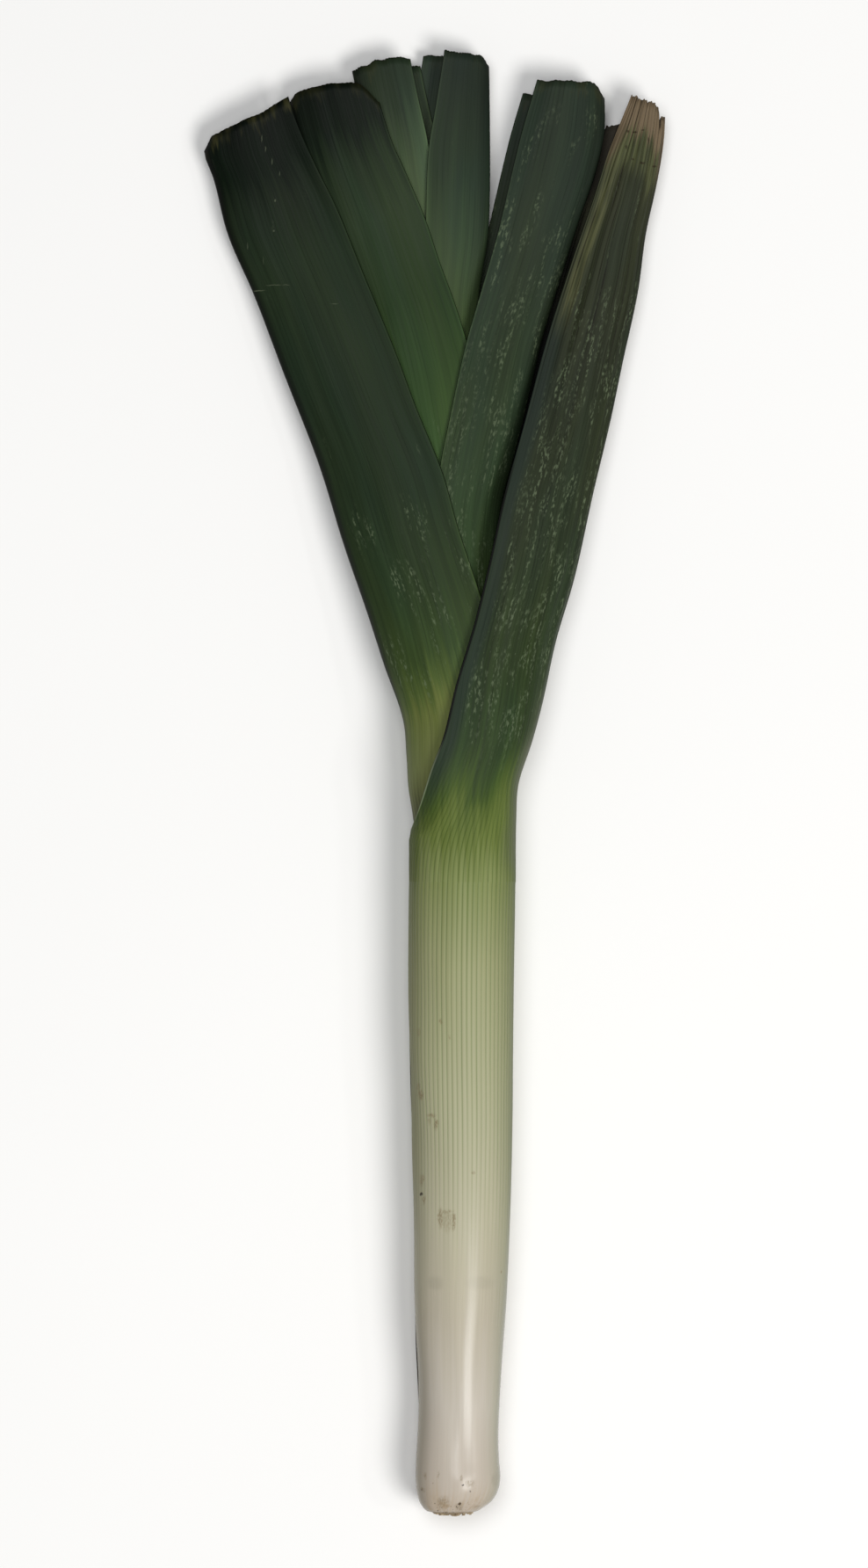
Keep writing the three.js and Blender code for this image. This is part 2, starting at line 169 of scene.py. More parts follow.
TIP_LIFT = 0.5                  # how far the upper margins lift where nothing lies on them
TIP_LIFT_AFTER_MOUTH = 75       # that lift begins this far above the mouth,
TIP_LIFT_START_Y = 40           # but not below this y,
TIP_LIFT_LENGTH = 90            # and is whole after this length
MOUTH_LIFT = 1.5                # how far the oldest leaf's margin stands off above its mouth
MOUTH_EASE = 15                 # the length over which it comes to do so
FLOOR_CLEARANCE = 0.01
INNER_RELIEF = 0.3              # how much of a sheet's relief shows on its inner face
CUT_WOBBLE = 0.2                # of the younger leaves' knife cuts
FRAYED = 0.3                    # of the oldest leaf's end
BLADE_WAVES = 0.07              # long low waves across the younger blades
BLADE_WAVE_PITCHES = (9, 130)
BARE_RIM = (0.3, 2.0)           # the veins of a younger blade fade over this at its margin
SHANK_BUMPS = 0.12
SHANK_BUMP_PITCHES = (26, 70)
ROOT_WRINKLES = 0.02
ROOT_WRINKLE_PITCHES = (2.4, 40)
BUMPS_RISE = (-249, -240)       # over which y each of them comes in
WRINKLES_RISE = (-238, -246)
RIBS_RISE = (-180, -120)
RIBS_TO_VEINS = (-20, 30)       # over which y the oldest leaf's ribs turn into veins
CREASE_DEPTH = (0.1, 0.38)      # of the oldest blade, green and dry
CREASES_RISE = (0, 60)
DRY_RISE = (178, 222)           # over which y that blade dries
FOLD_DEPTH = 0.12               # of the dry tip's finer folds
FAR_FROM_RIM = 60.0             # what the maps say all over the closed shank
FAR_FROM_TIP = 300.0
SAMPLES = 400                   # along a section that is measured
PLATE_SIDES = 96
STUB_SIDES = 14
STUB_SEED = 8
STUB_RINGS = ((0.0, 1), (2.3, 6), (4.4, 11), (6.5, 17))    # distance from the middle, number
STUB_TURN = 0.12                # how far a stub strays round its ring, and to and from the middle
STUB_STRAY = 0.3
STUB_LEAN = 0.4
STUB_RADII = (0.38, 0.7)
STUB_HEIGHTS = (0.3, 0.85)
PLATE_ROUGHNESS = 0.14
PLATE_STEPS = 0.09              # the rings that the face is stepped in


# ---------- small helpers ----------
def smooth(value, low, high):
    share = np.clip((value - low) / (high - low), 0, 1)
    return share * share * (3 - 2 * share)


def mix(a, b, share):
    return a + (b - a) * share


def spline(points):
    """A smooth function through a few (position, value) points, level past both ends."""
    positions, values = np.array(points, float).T
    slopes = np.diff(values) / np.diff(positions)
    tangents = np.concatenate([slopes[:1], (slopes[:-1] + slopes[1:]) / 2, slopes[-1:]])

    def at(where):
        where = np.clip(where, positions[0], positions[-1])
        i = np.clip(np.searchsorted(positions, where, side="right") - 1, 0, len(slopes) - 1)
        span = positions[i + 1] - positions[i]
        t = (where - positions[i]) / span
        start = (2 * t**3 - 3 * t**2 + 1) * values[i] + (t**3 - 2 * t**2 + t) * span * tangents[i]
        end = (3 * t**2 - 2 * t**3) * values[i + 1] + (t**3 - t**2) * span * tangents[i + 1]
        return start + end

    return at


def ripples(seed, x, y, pitch_x, pitch_y, count=5):
    """Smooth seeded noise between about -1 and 1, with waves near the given pitches."""
    rng = np.random.default_rng(seed)
    total = 0
    for _ in range(count):
        rate_x, rate_y = rng.uniform(0.5, 1.5, 2) * rng.choice([-1, 1], 2)
        phase = rng.uniform(0, 2 * math.pi)
        total = total + np.sin(2 * math.pi * (rate_x * x / pitch_x + rate_y * y / pitch_y) + phase)
    return total / math.sqrt(count)


# ---------- the form of the leaves ----------
def flattening(y):
    return smooth(y, *FLATTEN)


def spreading(y):
    return smooth(y, *SPREAD)


def wall_at(y):
    return mix(SHEATH_WALL, BLADE_THICKNESS, spreading(y))


def swell(x, y):
    """A gentle unevenness that all the leaves of the fan share, so that they stay nested."""
    return SWELL * smooth(y, *SWELL_RISE) * ripples(SWELL_SEED, x, y, *SWELL_PITCHES, 4)


def middle_height(x, y):
    lean = FAN_LEAN * smooth(-x, *LEAN_RISE)
    return mix(AXIS_Z, FAN_HEIGHT - lean, flattening(y)) + swell(x, y)


def fold(distance, reach, y):
    power = mix(2.0, FOLD_POWER, spreading(y))
    share = np.clip(distance / reach, 0, 1)
    return (1 - (1 - share) ** power) ** (1 / power)


class Leaf:
    """One leaf's folded sheet, nested in the sheet of the next older leaf."""

    def __init__(self, order, row, outer):
        self.order, self.outer, self.side = order, outer, row["side"]
        self.node, self.underhang = row["node"], row["underhang"]
        self.sag, *self.sag_run = row.get("sag", (0, 0, 1))
        self.keel_line, self.margin_line = spline(row["keel"]), spline(row["margin"])
        self.mouth_y = row["margin"][0][0]
        self.radius = SHEATH_RADIUS - order * SHEATH_PITCH
        self.opening = FAN_OPENING - order * FAN_PITCH
        under, upper = reversed(row["under_tip"][1:]), row["tip"]
        self.tips = np.array([(-share, y) for share, y in under] + list(upper), float).T
        self.top_y = self.tips[1].max()
        self.lift_from = max(self.mouth_y + TIP_LIFT_AFTER_MOUTH, TIP_LIFT_START_Y)
        self.vein_run = None

    def keel_x(self, y):
        return self.keel_line(y) - self.side * wall_at(y) / 2

    def closing_x(self, y):
        if self.outer:
            return self.outer.keel_x(y) + self.side * SHEATH_PITCH
        return np.minimum(AXIS_X - self.radius, LEEK[1].keel_x(y) - SHEATH_PITCH)

    def margin_x(self, y, hang=0.0):
        line = self.margin_line(y) - self.side * hang
        limit = self.closing_x(y)
        open_x = np.maximum(line, limit) if self.side > 0 else np.minimum(line, limit)
        return np.where(y <= self.mouth_y, limit, open_x)

    def reach(self, y):
        width = np.abs(self.margin_x(y) - self.keel_x(y))
        return mix(self.radius, FOLD_SHARE * width, spreading(y))

    def half_opening(self, x, y):
        height = mix(self.radius, self.opening, flattening(y))
        outer_reach = self.radius
        if self.outer:
            outer_reach = self.outer.reach(y) - SHEATH_PITCH * (1 - spreading(y))
        from_keel = fold(self.side * (self.keel_x(y) - x), self.reach(y), y)
        from_closing = fold(self.side * (x - self.closing_x(y)), outer_reach, y)
        return height * from_keel * from_closing

    def section(self, y, share, half):
        """x and z where the upper (half 1) or under (half -1) sheet is cut by the plane y."""
        hang = self.underhang * smooth(y, SPREAD[1], FLATTEN[1]) * (half < 0)
        x = mix(self.keel_x(y), self.margin_x(y, hang), share)
        rise = self.half_opening(x, y)
        lift = TIP_LIFT * smooth(y, self.lift_from, self.lift_from + TIP_LIFT_LENGTH) * share**3
        lift = lift - self.sag * smooth(y, *self.sag_run) * share**2
        if not self.outer:
            lift = lift + MOUTH_LIFT * smooth(y, self.mouth_y, self.mouth_y + MOUTH_EASE) * share**8
        return x, middle_height(x, y) + half * rise + lift * (half > 0)

    def shares(self, y, half, columns):
        """Shares of the width that part the section at y into equal lengths, and its length."""
        fine = (1 - np.cos(np.linspace(0, math.pi, SAMPLES))) / 2
        x, z = self.section(np.full_like(fine, y), fine, half)
        run = np.concatenate([[0], np.cumsum(np.hypot(np.diff(x), np.diff(z)))])
        return np.interp(np.linspace(0, run[-1], columns + 1), run, fine), run[-1]

    def eased_run(self):
        """Half a section's length along y, eased so that the veins bend ahead of the mouth."""
        step, reach = 1.5, 24
        levels = np.arange(-300.0, 300.0, step)
        runs = [self.shares(y, 1, 2)[1] if y > self.mouth_y else math.pi * self.radius
                for y in levels]
        weights = np.exp(-((np.arange(-reach, reach + 1) * step / RIB_EASE) ** 2) / 2)
        padded = np.pad(runs, reach, mode="edge")
        return levels, np.convolve(padded, weights / weights.sum(), mode="valid")

    def veins(self, run, y):
        """Position among the veins, 0 at the keel and about 1 at the margin."""
        return run / np.interp(y, *self.vein_run)

    def blade_lane(self, share, half):
        """Position among the veins of the open blade: a vein there keeps its share of the width."""
        shares, length = self.shares(self.mouth_y + OPEN_AFTER, half, 240)
        return np.interp(share, shares, np.linspace(0, 1, len(shares))), length

    def tip_y(self, lane):
        """The cut's y at a signed share of the width, with its corners rounded."""
        around = TIP_ROUNDING * np.linspace(-1, 1, 7)
        return sum(np.interp(lane + step, *self.tips) for step in around) / len(around)


LEEK = []
for number, table_row in enumerate(LEAVES):
    LEEK.append(Leaf(number, table_row, LEEK[-1] if LEEK else None))
for leek_leaf in LEEK:
    leek_leaf.vein_run = leek_leaf.eased_run()


# ---------- sheets as grids of points ----------
def sheet_grid(leaf, base_y, columns, ragged):
    """Grids over rows base_y and 2 * columns + 1 columns from the upper to the under margin."""
    ease = smooth(base_y, leaf.top_y - TIP_EASE, leaf.top_y)[:, None]
    parts = []
    for half in (1, -1):
        rows = [leaf.shares(y, half, columns) for y in base_y]
        share = np.array([row[0] for row in rows])
        length = np.array([row[1] for row in rows])[:, None]
        lane = np.broadcast_to(np.linspace(0, 1, columns + 1), share.shape)
        slant = leaf.tip_y(share * half) - leaf.top_y + ragged(lane * half)
        y = base_y[:, None] + slant * ease
        x, z = leaf.section(y, share, half)
        run = lane * length * half
        open_lane, open_length = leaf.blade_lane(share, half)
        straight = smooth(y, leaf.mouth_y + MOUTH_EASE, leaf.mouth_y + OPEN_AFTER)
        vein = mix(leaf.veins(run, y), open_lane * half, straight)
        across = mix(run, open_lane * open_length * half, straight)
        parts.append(dict(x=x, y=y, z=z, lane=lane * half, across=across, vein=vein,
                          edge=(1 - lane) * length, tip=y[-1:, :] - y))
    upper, under = parts
    grid = {key: np.hstack([upper[key][:, ::-1], under[key][:, 1:]]) for key in upper}
    grid["middle"] = np.dstack([grid["x"], grid["y"], grid["z"]])
    return grid


def outward(points, side):
    across = np.gradient(points, axis=1)
    along = np.gradient(points, axis=0)
    normal = np.cross(across, along) * side
    return normal / np.maximum(np.linalg.norm(normal, axis=2, keepdims=True), 1e-9)


def grooves(vein, count):
    """Rounded ribs with narrow grooves between them: 0 on a rib's back, -1 in a groove."""
    return np.abs(np.sin(math.pi * vein * count)) ** 0.6 - 1


def both_faces(leaf, grid, relief):
    """The sheet's outer and inner face, with a margin that thins out and veins on the outside."""
    thin = mix(MARGIN_THICKNESS, 1.0, smooth(grid["edge"], 0, MARGIN_TAPER))
    rolled = grid["y"] < leaf.mouth_y
    half = (wall_at(grid["y"]) / 2 * np.where(rolled, 1.0, thin))[:, :, None]
    normal = outward(grid["middle"], leaf.side)
    outer = grid["middle"] + normal * (half + relief[:, :, None])
    inner = grid["middle"] - normal * (half - INNER_RELIEF * relief[:, :, None])
    for face in (outer, inner):
        face[:, :, 2] = np.maximum(face[:, :, 2], FLOOR_CLEARANCE)
    return outer, inner


# ---------- meshes ----------
def place_object(name, data):
    made = bpy.data.objects.new(name, data)
    bpy.context.scene.collection.objects.link(made)
    return made


def grid_quads(start, rows, columns, first_row=0):
    row, column = np.meshgrid(np.arange(first_row, rows - 1), np.arange(columns - 1), indexing="ij")
    a = start + row * columns + column
    return np.stack([a, a + 1, a + columns + 1, a + columns], axis=-1).reshape(-1, 4)


def strip_quads(line_a, line_b):
    return np.stack([line_a[:-1], line_a[1:], line_b[1:], line_b[:-1]], axis=-1)


def make_piece(name, points, quads, maps):
    """A mesh object in metres, with its maps as per-corner pairs, closed where edges coincide."""
    mesh = bpy.data.meshes.new(name)
    mesh.from_pydata((points * MM).tolist(), [], quads.tolist())
    corners = np.zeros(len(mesh.loops), np.int64)
    mesh.loops.foreach_get("vertex_index", corners)
    for key, pairs in maps.items():
        layer = mesh.uv_layers.new(name=key)
        layer.data.foreach_set("uv", pairs[corners].astype(np.float32).ravel())
    work = bmesh.new()
    work.from_mesh(mesh)
    bmesh.ops.remove_doubles(work, verts=work.verts, dist=2e-6)
    bmesh.ops.dissolve_degenerate(work, edges=work.edges, dist=1e-7)
    bmesh.ops.recalc_face_normals(work, faces=work.faces)
    for face in work.faces:
        face.smooth = True
    work.to_mesh(mesh)
    work.free()
    return place_object(name, mesh)


SHEET_KEYS = ("across", "y", "edge", "tip", "vein", "lane")


def sheet_maps(grids):
    """The pairs that the materials read, for the rows of several grids one after another."""
    flat = {key: np.concatenate([g[key].ravel() for g in grids]) for key in SHEET_KEYS}
    return {
        "sheet": np.stack([flat["across"], flat["y"]], axis=-1),
        "rims": np.stack([flat["edge"], flat["tip"]], axis=-1),
        "veins": np.stack([flat["vein"], flat["lane"]], axis=-1),
    }


def cut_wobble(seed, size):
    """A slightly uneven knife cut across a leaf."""
    def ragged(lane):
        where = lane * 40
        fine = ripples(seed + 1, where, 0, 2.5, 1, 4)
        return size * (ripples(seed, where, 0, 11, 1, 4) + 0.45 * fine)
    return ragged


def younger_leaf(leaf):
    start = SOCKET_FLOOR_Y + SEAT_GAP
    base_y = mix(start, leaf.top_y, np.linspace(0, 1, LEAF_ROWS + 1) ** ROW_CROWDING)
    grid = sheet_grid(leaf, base_y, LEAF_COLUMNS, cut_wobble(40 + leaf.order, CUT_WOBBLE))
    bare = smooth(grid["edge"], *BARE_RIM)
    relief = VEIN_DEPTH * grooves(grid["vein"], VEINS_PER_HALF) * bare
    waves = ripples(60 + leaf.order, grid["across"], grid["y"], *BLADE_WAVE_PITCHES)
    relief = relief + BLADE_WAVES * waves
    outer, inner = both_faces(leaf, grid, relief)
    rows, columns = outer.shape[:2]
    count = rows * columns
    index = np.arange(2 * count).reshape(2, rows, columns)
    quads = [
        grid_quads(0, rows, columns),
        grid_quads(count, rows, columns)[:, ::-1],
        strip_quads(index[0, :, 0], index[1, :, 0]),
        strip_quads(index[1, :, -1], index[0, :, -1]),
        strip_quads(index[1, 0], index[0, 0]),
        strip_quads(index[0, -1], index[1, -1]),
    ]
    points = np.concatenate([outer.reshape(-1, 3), inner.reshape(-1, 3)])
    return make_piece(leaf.node + "_blade", points, np.concatenate(quads), sheet_maps([grid, grid]))


# ---------- the shank with the oldest leaf ----------
def shaft_axis_height(y, radius):
    share = np.clip((LIFT_FROM_Y - y) / (LIFT_FROM_Y - BULGE_Y), 0, 1)
    lifted = mix(LIFT_RADIUS, BULGE_RADIUS, share)
    return np.where(y > LIFT_FROM_Y, radius, lifted) - FLAT_DEPTH


def shank_rings():
    """Rows of rings from the middle of the root plate's recess to the neck: y, x, z, radius."""
    stations = np.array(SHAFT_STATIONS, float)
    run = np.concatenate([[0], np.cumsum(np.hypot(np.diff(stations[:, 0]), np.diff(stations[:, 2])))])
    share = np.linspace(0, 1, SHANK_ROWS)
    where = run[-1] * mix(share, (1 - np.cos(math.pi * share)) / 2, 0.75)
    y, x, radius = (spline(np.stack([run, column], axis=-1))(where) for column in stations.T)
    z = shaft_axis_height(y, radius)
    recess = PLATE_RADIUS + PLATE_GAP
    floor_y = PLATE_FACE_Y + PLATE_DEPTH
    inside = [(floor_y, 0.0), (floor_y, recess * 0.6), (floor_y, recess)]
    inside += [(PLATE_FACE_Y + step, recess) for step in RECESS_STEPS]
    rows = [(row_y, PLATE_CENTRE[0], PLATE_CENTRE[1], r) for row_y, r in inside]
    return np.concatenate([np.array(rows), np.stack([y, x, z, radius], axis=-1)[:-1]])


def shank_grid(leaf, columns):
    rings = shank_rings()
    lane = np.concatenate([np.linspace(1, 0, columns + 1), -np.linspace(0, 1, columns + 1)[1:]])
    y, x, z, radius = (rings[:, [i]] for i in range(4))
    shape = (len(rings), len(lane))
    angle = math.pi * lane[None, :]
    y = np.broadcast_to(y, shape)
    vein = leaf.veins(lane * math.pi * leaf.radius, y)
    bumps = ripples(5, lane * 57, y, *SHANK_BUMP_PITCHES, 6)
    bumps = SHANK_BUMPS * smooth(y, *BUMPS_RISE) * bumps
    wrinkles = ripples(6, lane * 50, y, *ROOT_WRINKLE_PITCHES, 6)
    wrinkles = ROOT_WRINKLES * smooth(y, *WRINKLES_RISE) * wrinkles
    rib = RIB_DEPTH * smooth(y, *RIBS_RISE) * grooves(vein, RIBS_PER_HALF)
    reach = radius + (bumps + rib + wrinkles) * (radius > PLATE_RADIUS + PLATE_GAP)
    level = np.maximum(z + reach * np.sin(angle), FLOOR_CLEARANCE)
    points = np.dstack([x + reach * np.cos(angle), y, level])
    return points, dict(
        across=np.broadcast_to(lane * math.pi * leaf.radius, shape), y=y, vein=vein,
        edge=np.full(shape, FAR_FROM_RIM), tip=np.full(shape, FAR_FROM_TIP),
        lane=np.broadcast_to(lane, shape),
    )


# Places on the cut of the oldest leaf's dry tip: (signed share of the half's run, depth, width).
TEARS = [(0.2, 5.2, 0.05), (0.38, 0.8, 0.03), (0.57, 1.0, 0.04), (0.8, 0.7, 0.03), (-0.35, 2, 0.05)]


def torn_tip(lane):
    """The oldest leaf's dry tip: frayed, with a deep tear near the keel."""
    where = lane * 20
    frayed = FRAYED * ripples(21, where, 0, 7, 1, 5) + 0.22 * ripples(22, where, 0, 1.1, 1, 4)
    return frayed - sum(depth * np.exp(-(((lane - place) / width) ** 2))
                        for place, depth, width in TEARS)


def crumple(grid):
    """Lengthwise creases of the oldest blade, deep in its dry tip."""
    dry = smooth(grid["y"], *DRY_RISE)
    creases = ripples(31, grid["vein"] * 30, grid["y"], 5.5, 170, 6)
    folds = ripples(32, grid["vein"] * 30, grid["y"], 2.2, 60, 5)
    return mix(*CREASE_DEPTH, dry) * creases + FOLD_DEPTH * dry * folds


def shank_with_oldest_leaf(leaf):
    base_y = mix(SOCKET_FLOOR_Y, leaf.top_y, np.linspace(0, 1, BLADE_ROWS + 1) ** ROW_CROWDING)
    grid = sheet_grid(leaf, base_y, SHANK_COLUMNS, torn_tip)
    depth = mix(RIB_DEPTH, VEIN_DEPTH, smooth(grid["y"], *RIBS_TO_VEINS))
    creases = crumple(grid) * smooth(grid["y"], *CREASES_RISE)
    relief = depth * grooves(grid["vein"], RIBS_PER_HALF) + creases
    outer, inner = both_faces(leaf, grid, relief)
    shank, shank_values = shank_grid(leaf, SHANK_COLUMNS)
    floor = inner[:1].copy()
    floor[:, :, 0], floor[:, :, 1], floor[:, :, 2] = AXIS_X, SOCKET_FLOOR_Y, AXIS_Z
    outside = np.concatenate([shank, outer])
    inside = np.concatenate([floor, inner])
    rows, columns = outside.shape[:2]
    count = rows * columns
    inner_rows = len(inside)
    first = int(np.searchsorted(base_y, leaf.mouth_y))
    out_line = np.arange(len(shank) + first, rows) * columns
    in_line = count + np.arange(1 + first, inner_rows) * columns
    last = columns - 1
    quads = [
        grid_quads(0, rows, columns),
        grid_quads(count, inner_rows, columns)[:, ::-1],
        strip_quads(out_line, in_line),
        strip_quads(in_line + last, out_line + last),
        strip_quads(np.arange(count - columns, count),
                    count + np.arange((inner_rows - 1) * columns, inner_rows * columns)),
    ]
    floor_values = {key: grid[key][:1] for key in SHEET_KEYS}
    maps = sheet_maps([shank_values, grid, floor_values, grid])
    points = np.concatenate([outside.reshape(-1, 3), inside.reshape(-1, 3)])
    return make_piece("shank_and_oldest_leaf", points, np.concatenate(quads), maps)


# ---------- the root plate ----------
def ring_quads(start, rings, sides):
    quads = []
    for ring in range(rings - 1):
        for side in range(sides):
            a = start + ring * sides + side
            b = start + ring * sides + (side + 1) % sides
            quads.append((a, b, b + sides, a + sides))
    return quads


def level_ring(x, y, z):
    return np.stack([x, np.broadcast_to(y, x.shape), z], axis=-1)


def plate_points(sides):
    """Rings from the middle of the face over its rim to the middle of the back."""
    shares = [0, 0.15, 0.3, 0.45, 0.58, 0.7, 0.8, 0.88, 0.95, 1.0]
    turn = np.linspace(0, 2 * math.pi, sides, endpoint=False)
    rings = []
    for share in shares:
        reach = PLATE_RADIUS * share * (1 - 0.012 * (1 + ripples(72, turn, 0, 0.9, 1, 5)))
        x, z = reach * np.cos(turn), reach * np.sin(turn)
        rough = PLATE_ROUGHNESS * ripples(71, x, z, 3.0, 3.0, 7) + PLATE_STEPS * math.sin(share * 30)
        y = PLATE_FACE_Y - PLATE_DOME * (1 - share**2) + rough * (share < 1)
        rings.append(level_ring(x, y, z))
    back_y = PLATE_FACE_Y + PLATE_DEPTH - PLATE_GAP
    for share in (1.0, 0.5, 0.0):
        x, z = PLATE_RADIUS * share * np.cos(turn), PLATE_RADIUS * share * np.sin(turn)
        rings.append(level_ring(x, back_y, z))
    return np.array(rings)


# A cut root from its foot inside the plate to the middle of its end: (level, width, paleness).
STUB_PROFILE = [(1.2, 1.25, 0), (0.0, 1.1, 0), (-0.6, 0.95, 0.3), (-1.0, 1.0, 0.9), (-1.02, 0.75, 1),
                (-0.8, 0.35, 0.3), (-0.7, 0, 0)]


def stub_points(place, lean, radius, height):
    """One cut root: a short, slightly flared tube with a hollowed end."""
    turn = np.linspace(0, 2 * math.pi, STUB_SIDES, endpoint=False)
    rings = []
    for level, width, _ in STUB_PROFILE:
        y = level * (height if level < 0 else 1.0)
        x = place[0] + lean[0] * -y + radius * width * np.cos(turn)
        z = place[1] + lean[1] * -y + radius * width * np.sin(turn)
        rings.append(level_ring(x, y, z))
    return np.array(rings)


def root_plate():
    rng = np.random.default_rng(STUB_SEED)
    rings = plate_points(PLATE_SIDES)
    points = [rings.reshape(-1, 3)]
    quads = ring_quads(0, len(rings), PLATE_SIDES)
    start = points[0].shape[0]
    paleness = [np.zeros(start)]
    for distance, count in STUB_RINGS:
        for step in range(count):
            angle = 2 * math.pi * step / count + distance + rng.uniform(-STUB_TURN, STUB_TURN)
            away = distance + rng.uniform(-STUB_STRAY, STUB_STRAY) * (distance > 0)
            place = np.array([math.cos(angle), math.sin(angle)]) * away
            lean = rng.uniform(-STUB_LEAN, STUB_LEAN, 2)
            stub = stub_points(place, lean, rng.uniform(*STUB_RADII), rng.uniform(*STUB_HEIGHTS))
            stub[:, :, 1] += PLATE_FACE_Y - PLATE_DOME * (1 - (away / PLATE_RADIUS) ** 2)
            points.append(stub.reshape(-1, 3))
            paleness.append(np.repeat([row[2] for row in STUB_PROFILE], STUB_SIDES))
            quads += ring_quads(start, len(stub), STUB_SIDES)
            start += len(stub) * STUB_SIDES
    points = np.concatenate(points) + np.array([PLATE_CENTRE[0], 0, PLATE_CENTRE[1]])
    paleness = np.concatenate(paleness)
    maps = {"stubs": np.stack([paleness, paleness], axis=-1)}
    return make_piece("root_plate_with_stubs", points, np.array(quads), maps)


# ---------- materials ----------
LIGHT_LEVEL = 1.25              # how brightly a white, level surface is lit here
LEAF_GLOSS = 0.006              # what a leaf's own sheen adds to its colour
SHANK_GLOSS = 0.022
DARKEST = 0.0012
LEAF_SHEEN = 0.09
SHANK_SHEEN = 0.25
ENDLESS = 1e6                   # a pitch so long that nothing changes over a leaf
FIBRE_BUMP = 0.07               # heights in millimetres of what is too fine for the mesh
THREAD_BUMP = 0.05
RIB_BUMP = 0.12


def seen_as(red, green, blue, gloss=LEAF_GLOSS):
    """The linear colour of a surface that is to look like this display colour in this light."""
    def unlit(channel):
        share = channel / 255
        linear = share / 12.92 if share <= 0.04045 else ((share + 0.055) / 1.055) ** 2.4
        return max(linear / LIGHT_LEVEL - gloss, DARKEST)
    return (unlit(red), unlit(green), unlit(blue), 1.0)


class Shader:
    """Builds one material's nodes with short calls. A value may be a number or a socket.

    base is the colour built up so far.
    """

    def __init__(self, name):
        self.material = bpy.data.materials.new(name)
        self.material.use_nodes = True
        self.nodes = self.material.node_tree.nodes
        self.links = self.material.node_tree.links
        self.nodes.clear()
        self.base = None

    def add(self, kind, values=None, **settings):
        node = self.nodes.new("ShaderNode" + kind)
        for key, value in settings.items():
            setattr(node, key, value)
        for key, value in (values or {}).items():
            self.plug(value, node.inputs[key])
        return node

    def plug(self, value, socket):
        if isinstance(value, bpy.types.NodeSocket):
            self.links.new(value, socket)
        else:
            socket.default_value = value

    def math(self, operation, a, b=0.0):
        return self.add("Math", {0: a, 1: b}, operation=operation).outputs[0]

    def minus(self, a, b):
        return self.math("SUBTRACT", a, b)

    def total(self, value, *others):
        for other in others:
            value = self.math("ADD", value, other)
        return value

    def product(self, value, *others):
        for other in others:
            value = self.math("MULTIPLY", value, other)
        return value

    def step(self, value, low, high, start=0.0, end=1.0):
        """A smooth change from start at low to end at high, where low may be the greater."""
        values = {"Value": value, "From Min": low, "From Max": high, "To Min": start, "To Max": end}
        return self.add("MapRange", values, interpolation_type="SMOOTHSTEP").outputs[0]

    def window(self, value, low, high, soft):
        """1 between low and high, fading to 0 over the distance soft outside them."""
        return self.product(self.step(value, low - soft, low), self.step(value, high + soft, high))

    def mix(self, share, a, b, how="MIX"):
        values = {0: share, 6: a, 7: b}
        return self.add("Mix", values, data_type="RGBA", blend_type=how).outputs[2]

    def times(self, tint, factor):
        """A colour times a number or another colour."""
        return self.mix(1.0, tint, factor, "MULTIPLY")

    def paint(self, tint, *shares):
        """Lays a display colour over the base, as far as the product of the shares says."""
        self.base = self.mix(self.product(*shares), self.base, seen_as(*tint))

    def stain(self, factors, *shares):
        """Multiplies the base by a colour's factors in the same way."""
        stained = self.times(self.base, (*factors, 1))
        self.base = self.mix(self.product(*shares), self.base, stained)

    def pair(self, name):
        uv = self.add("UVMap", uv_map=name)
        parts = self.add("SeparateXYZ", {0: uv.outputs[0]})
        return parts.outputs[0], parts.outputs[1]

    def read_sheet(self, folded=False):
        """The maps of a leaf. folded makes both halves alike, so that nothing breaks off between."""
        self.across, self.along = self.pair("sheet")
        self.edge, self.tip = self.pair("rims")
        self.vein, self.lane = self.pair("veins")
        self.under = self.step(self.lane, 0.0, -0.02)
        if folded:
            self.across = self.math("ABSOLUTE", self.across)
            self.lane = self.math("ABSOLUTE", self.lane)

    def object_place(self):
        return self.add("TexCoord").outputs["Object"]

    def sheet_place(self, seed, pitch_across, pitch_along):
        across = self.math("DIVIDE", self.across, pitch_across)
        along = self.math("DIVIDE", self.along, pitch_along)
        return self.add("CombineXYZ", {0: across, 1: along, 2: seed}).outputs[0]

    def noise(self, place, scale, detail=2.0, roughness=0.5):
        values = {"Vector": place, "Scale": scale, "Detail": detail, "Roughness": roughness}
        return self.add("TexNoise", values).outputs["Fac"]

    def wander(self, seed, pitch_across, pitch_along, detail=2.0, roughness=0.5):
        """Noise in the sheet's own directions, 0 to 1, with features of about the given size."""
        return self.noise(self.sheet_place(seed, pitch_across, pitch_along), 1.0, detail, roughness)

    def vein_lines(self, vein, count, sharpness):
        """1 in the grooves between veins, falling to 0 on their backs."""
        wave = self.math("ABSOLUTE", self.math("SINE", self.product(vein, math.pi * count)))
        return self.math("POWER", self.minus(1.0, wave), sharpness)

    def tones_along(self, reach, stops, ends, gloss=LEAF_GLOSS):
        """The base from display colours at positions between two ends."""
        low, high = ends
        share = self.math("DIVIDE", self.minus(reach, low), high - low)
        node = self.add("ValToRGB", {0: share})
        elements = node.color_ramp.elements
        while len(elements) < len(stops):
            elements.new(1.0)
        for element, (position, tint) in zip(elements, stops):
            element.position = (position - low) / (high - low)
            element.color = seen_as(*tint, gloss)
        self.base = node.outputs[0]

    def finish(self, roughness, height, sheen=0.5):
        bump = self.add("Bump", {"Height": height, "Distance": MM, "Strength": 1.0})
        surface = self.add("BsdfPrincipled", {"Base Color": self.base, "Roughness": roughness,
                                              "Specular IOR Level": sheen, "Normal": bump.outputs[0]})
        self.add("OutputMaterial", {0: surface.outputs[0]})
        return self.material


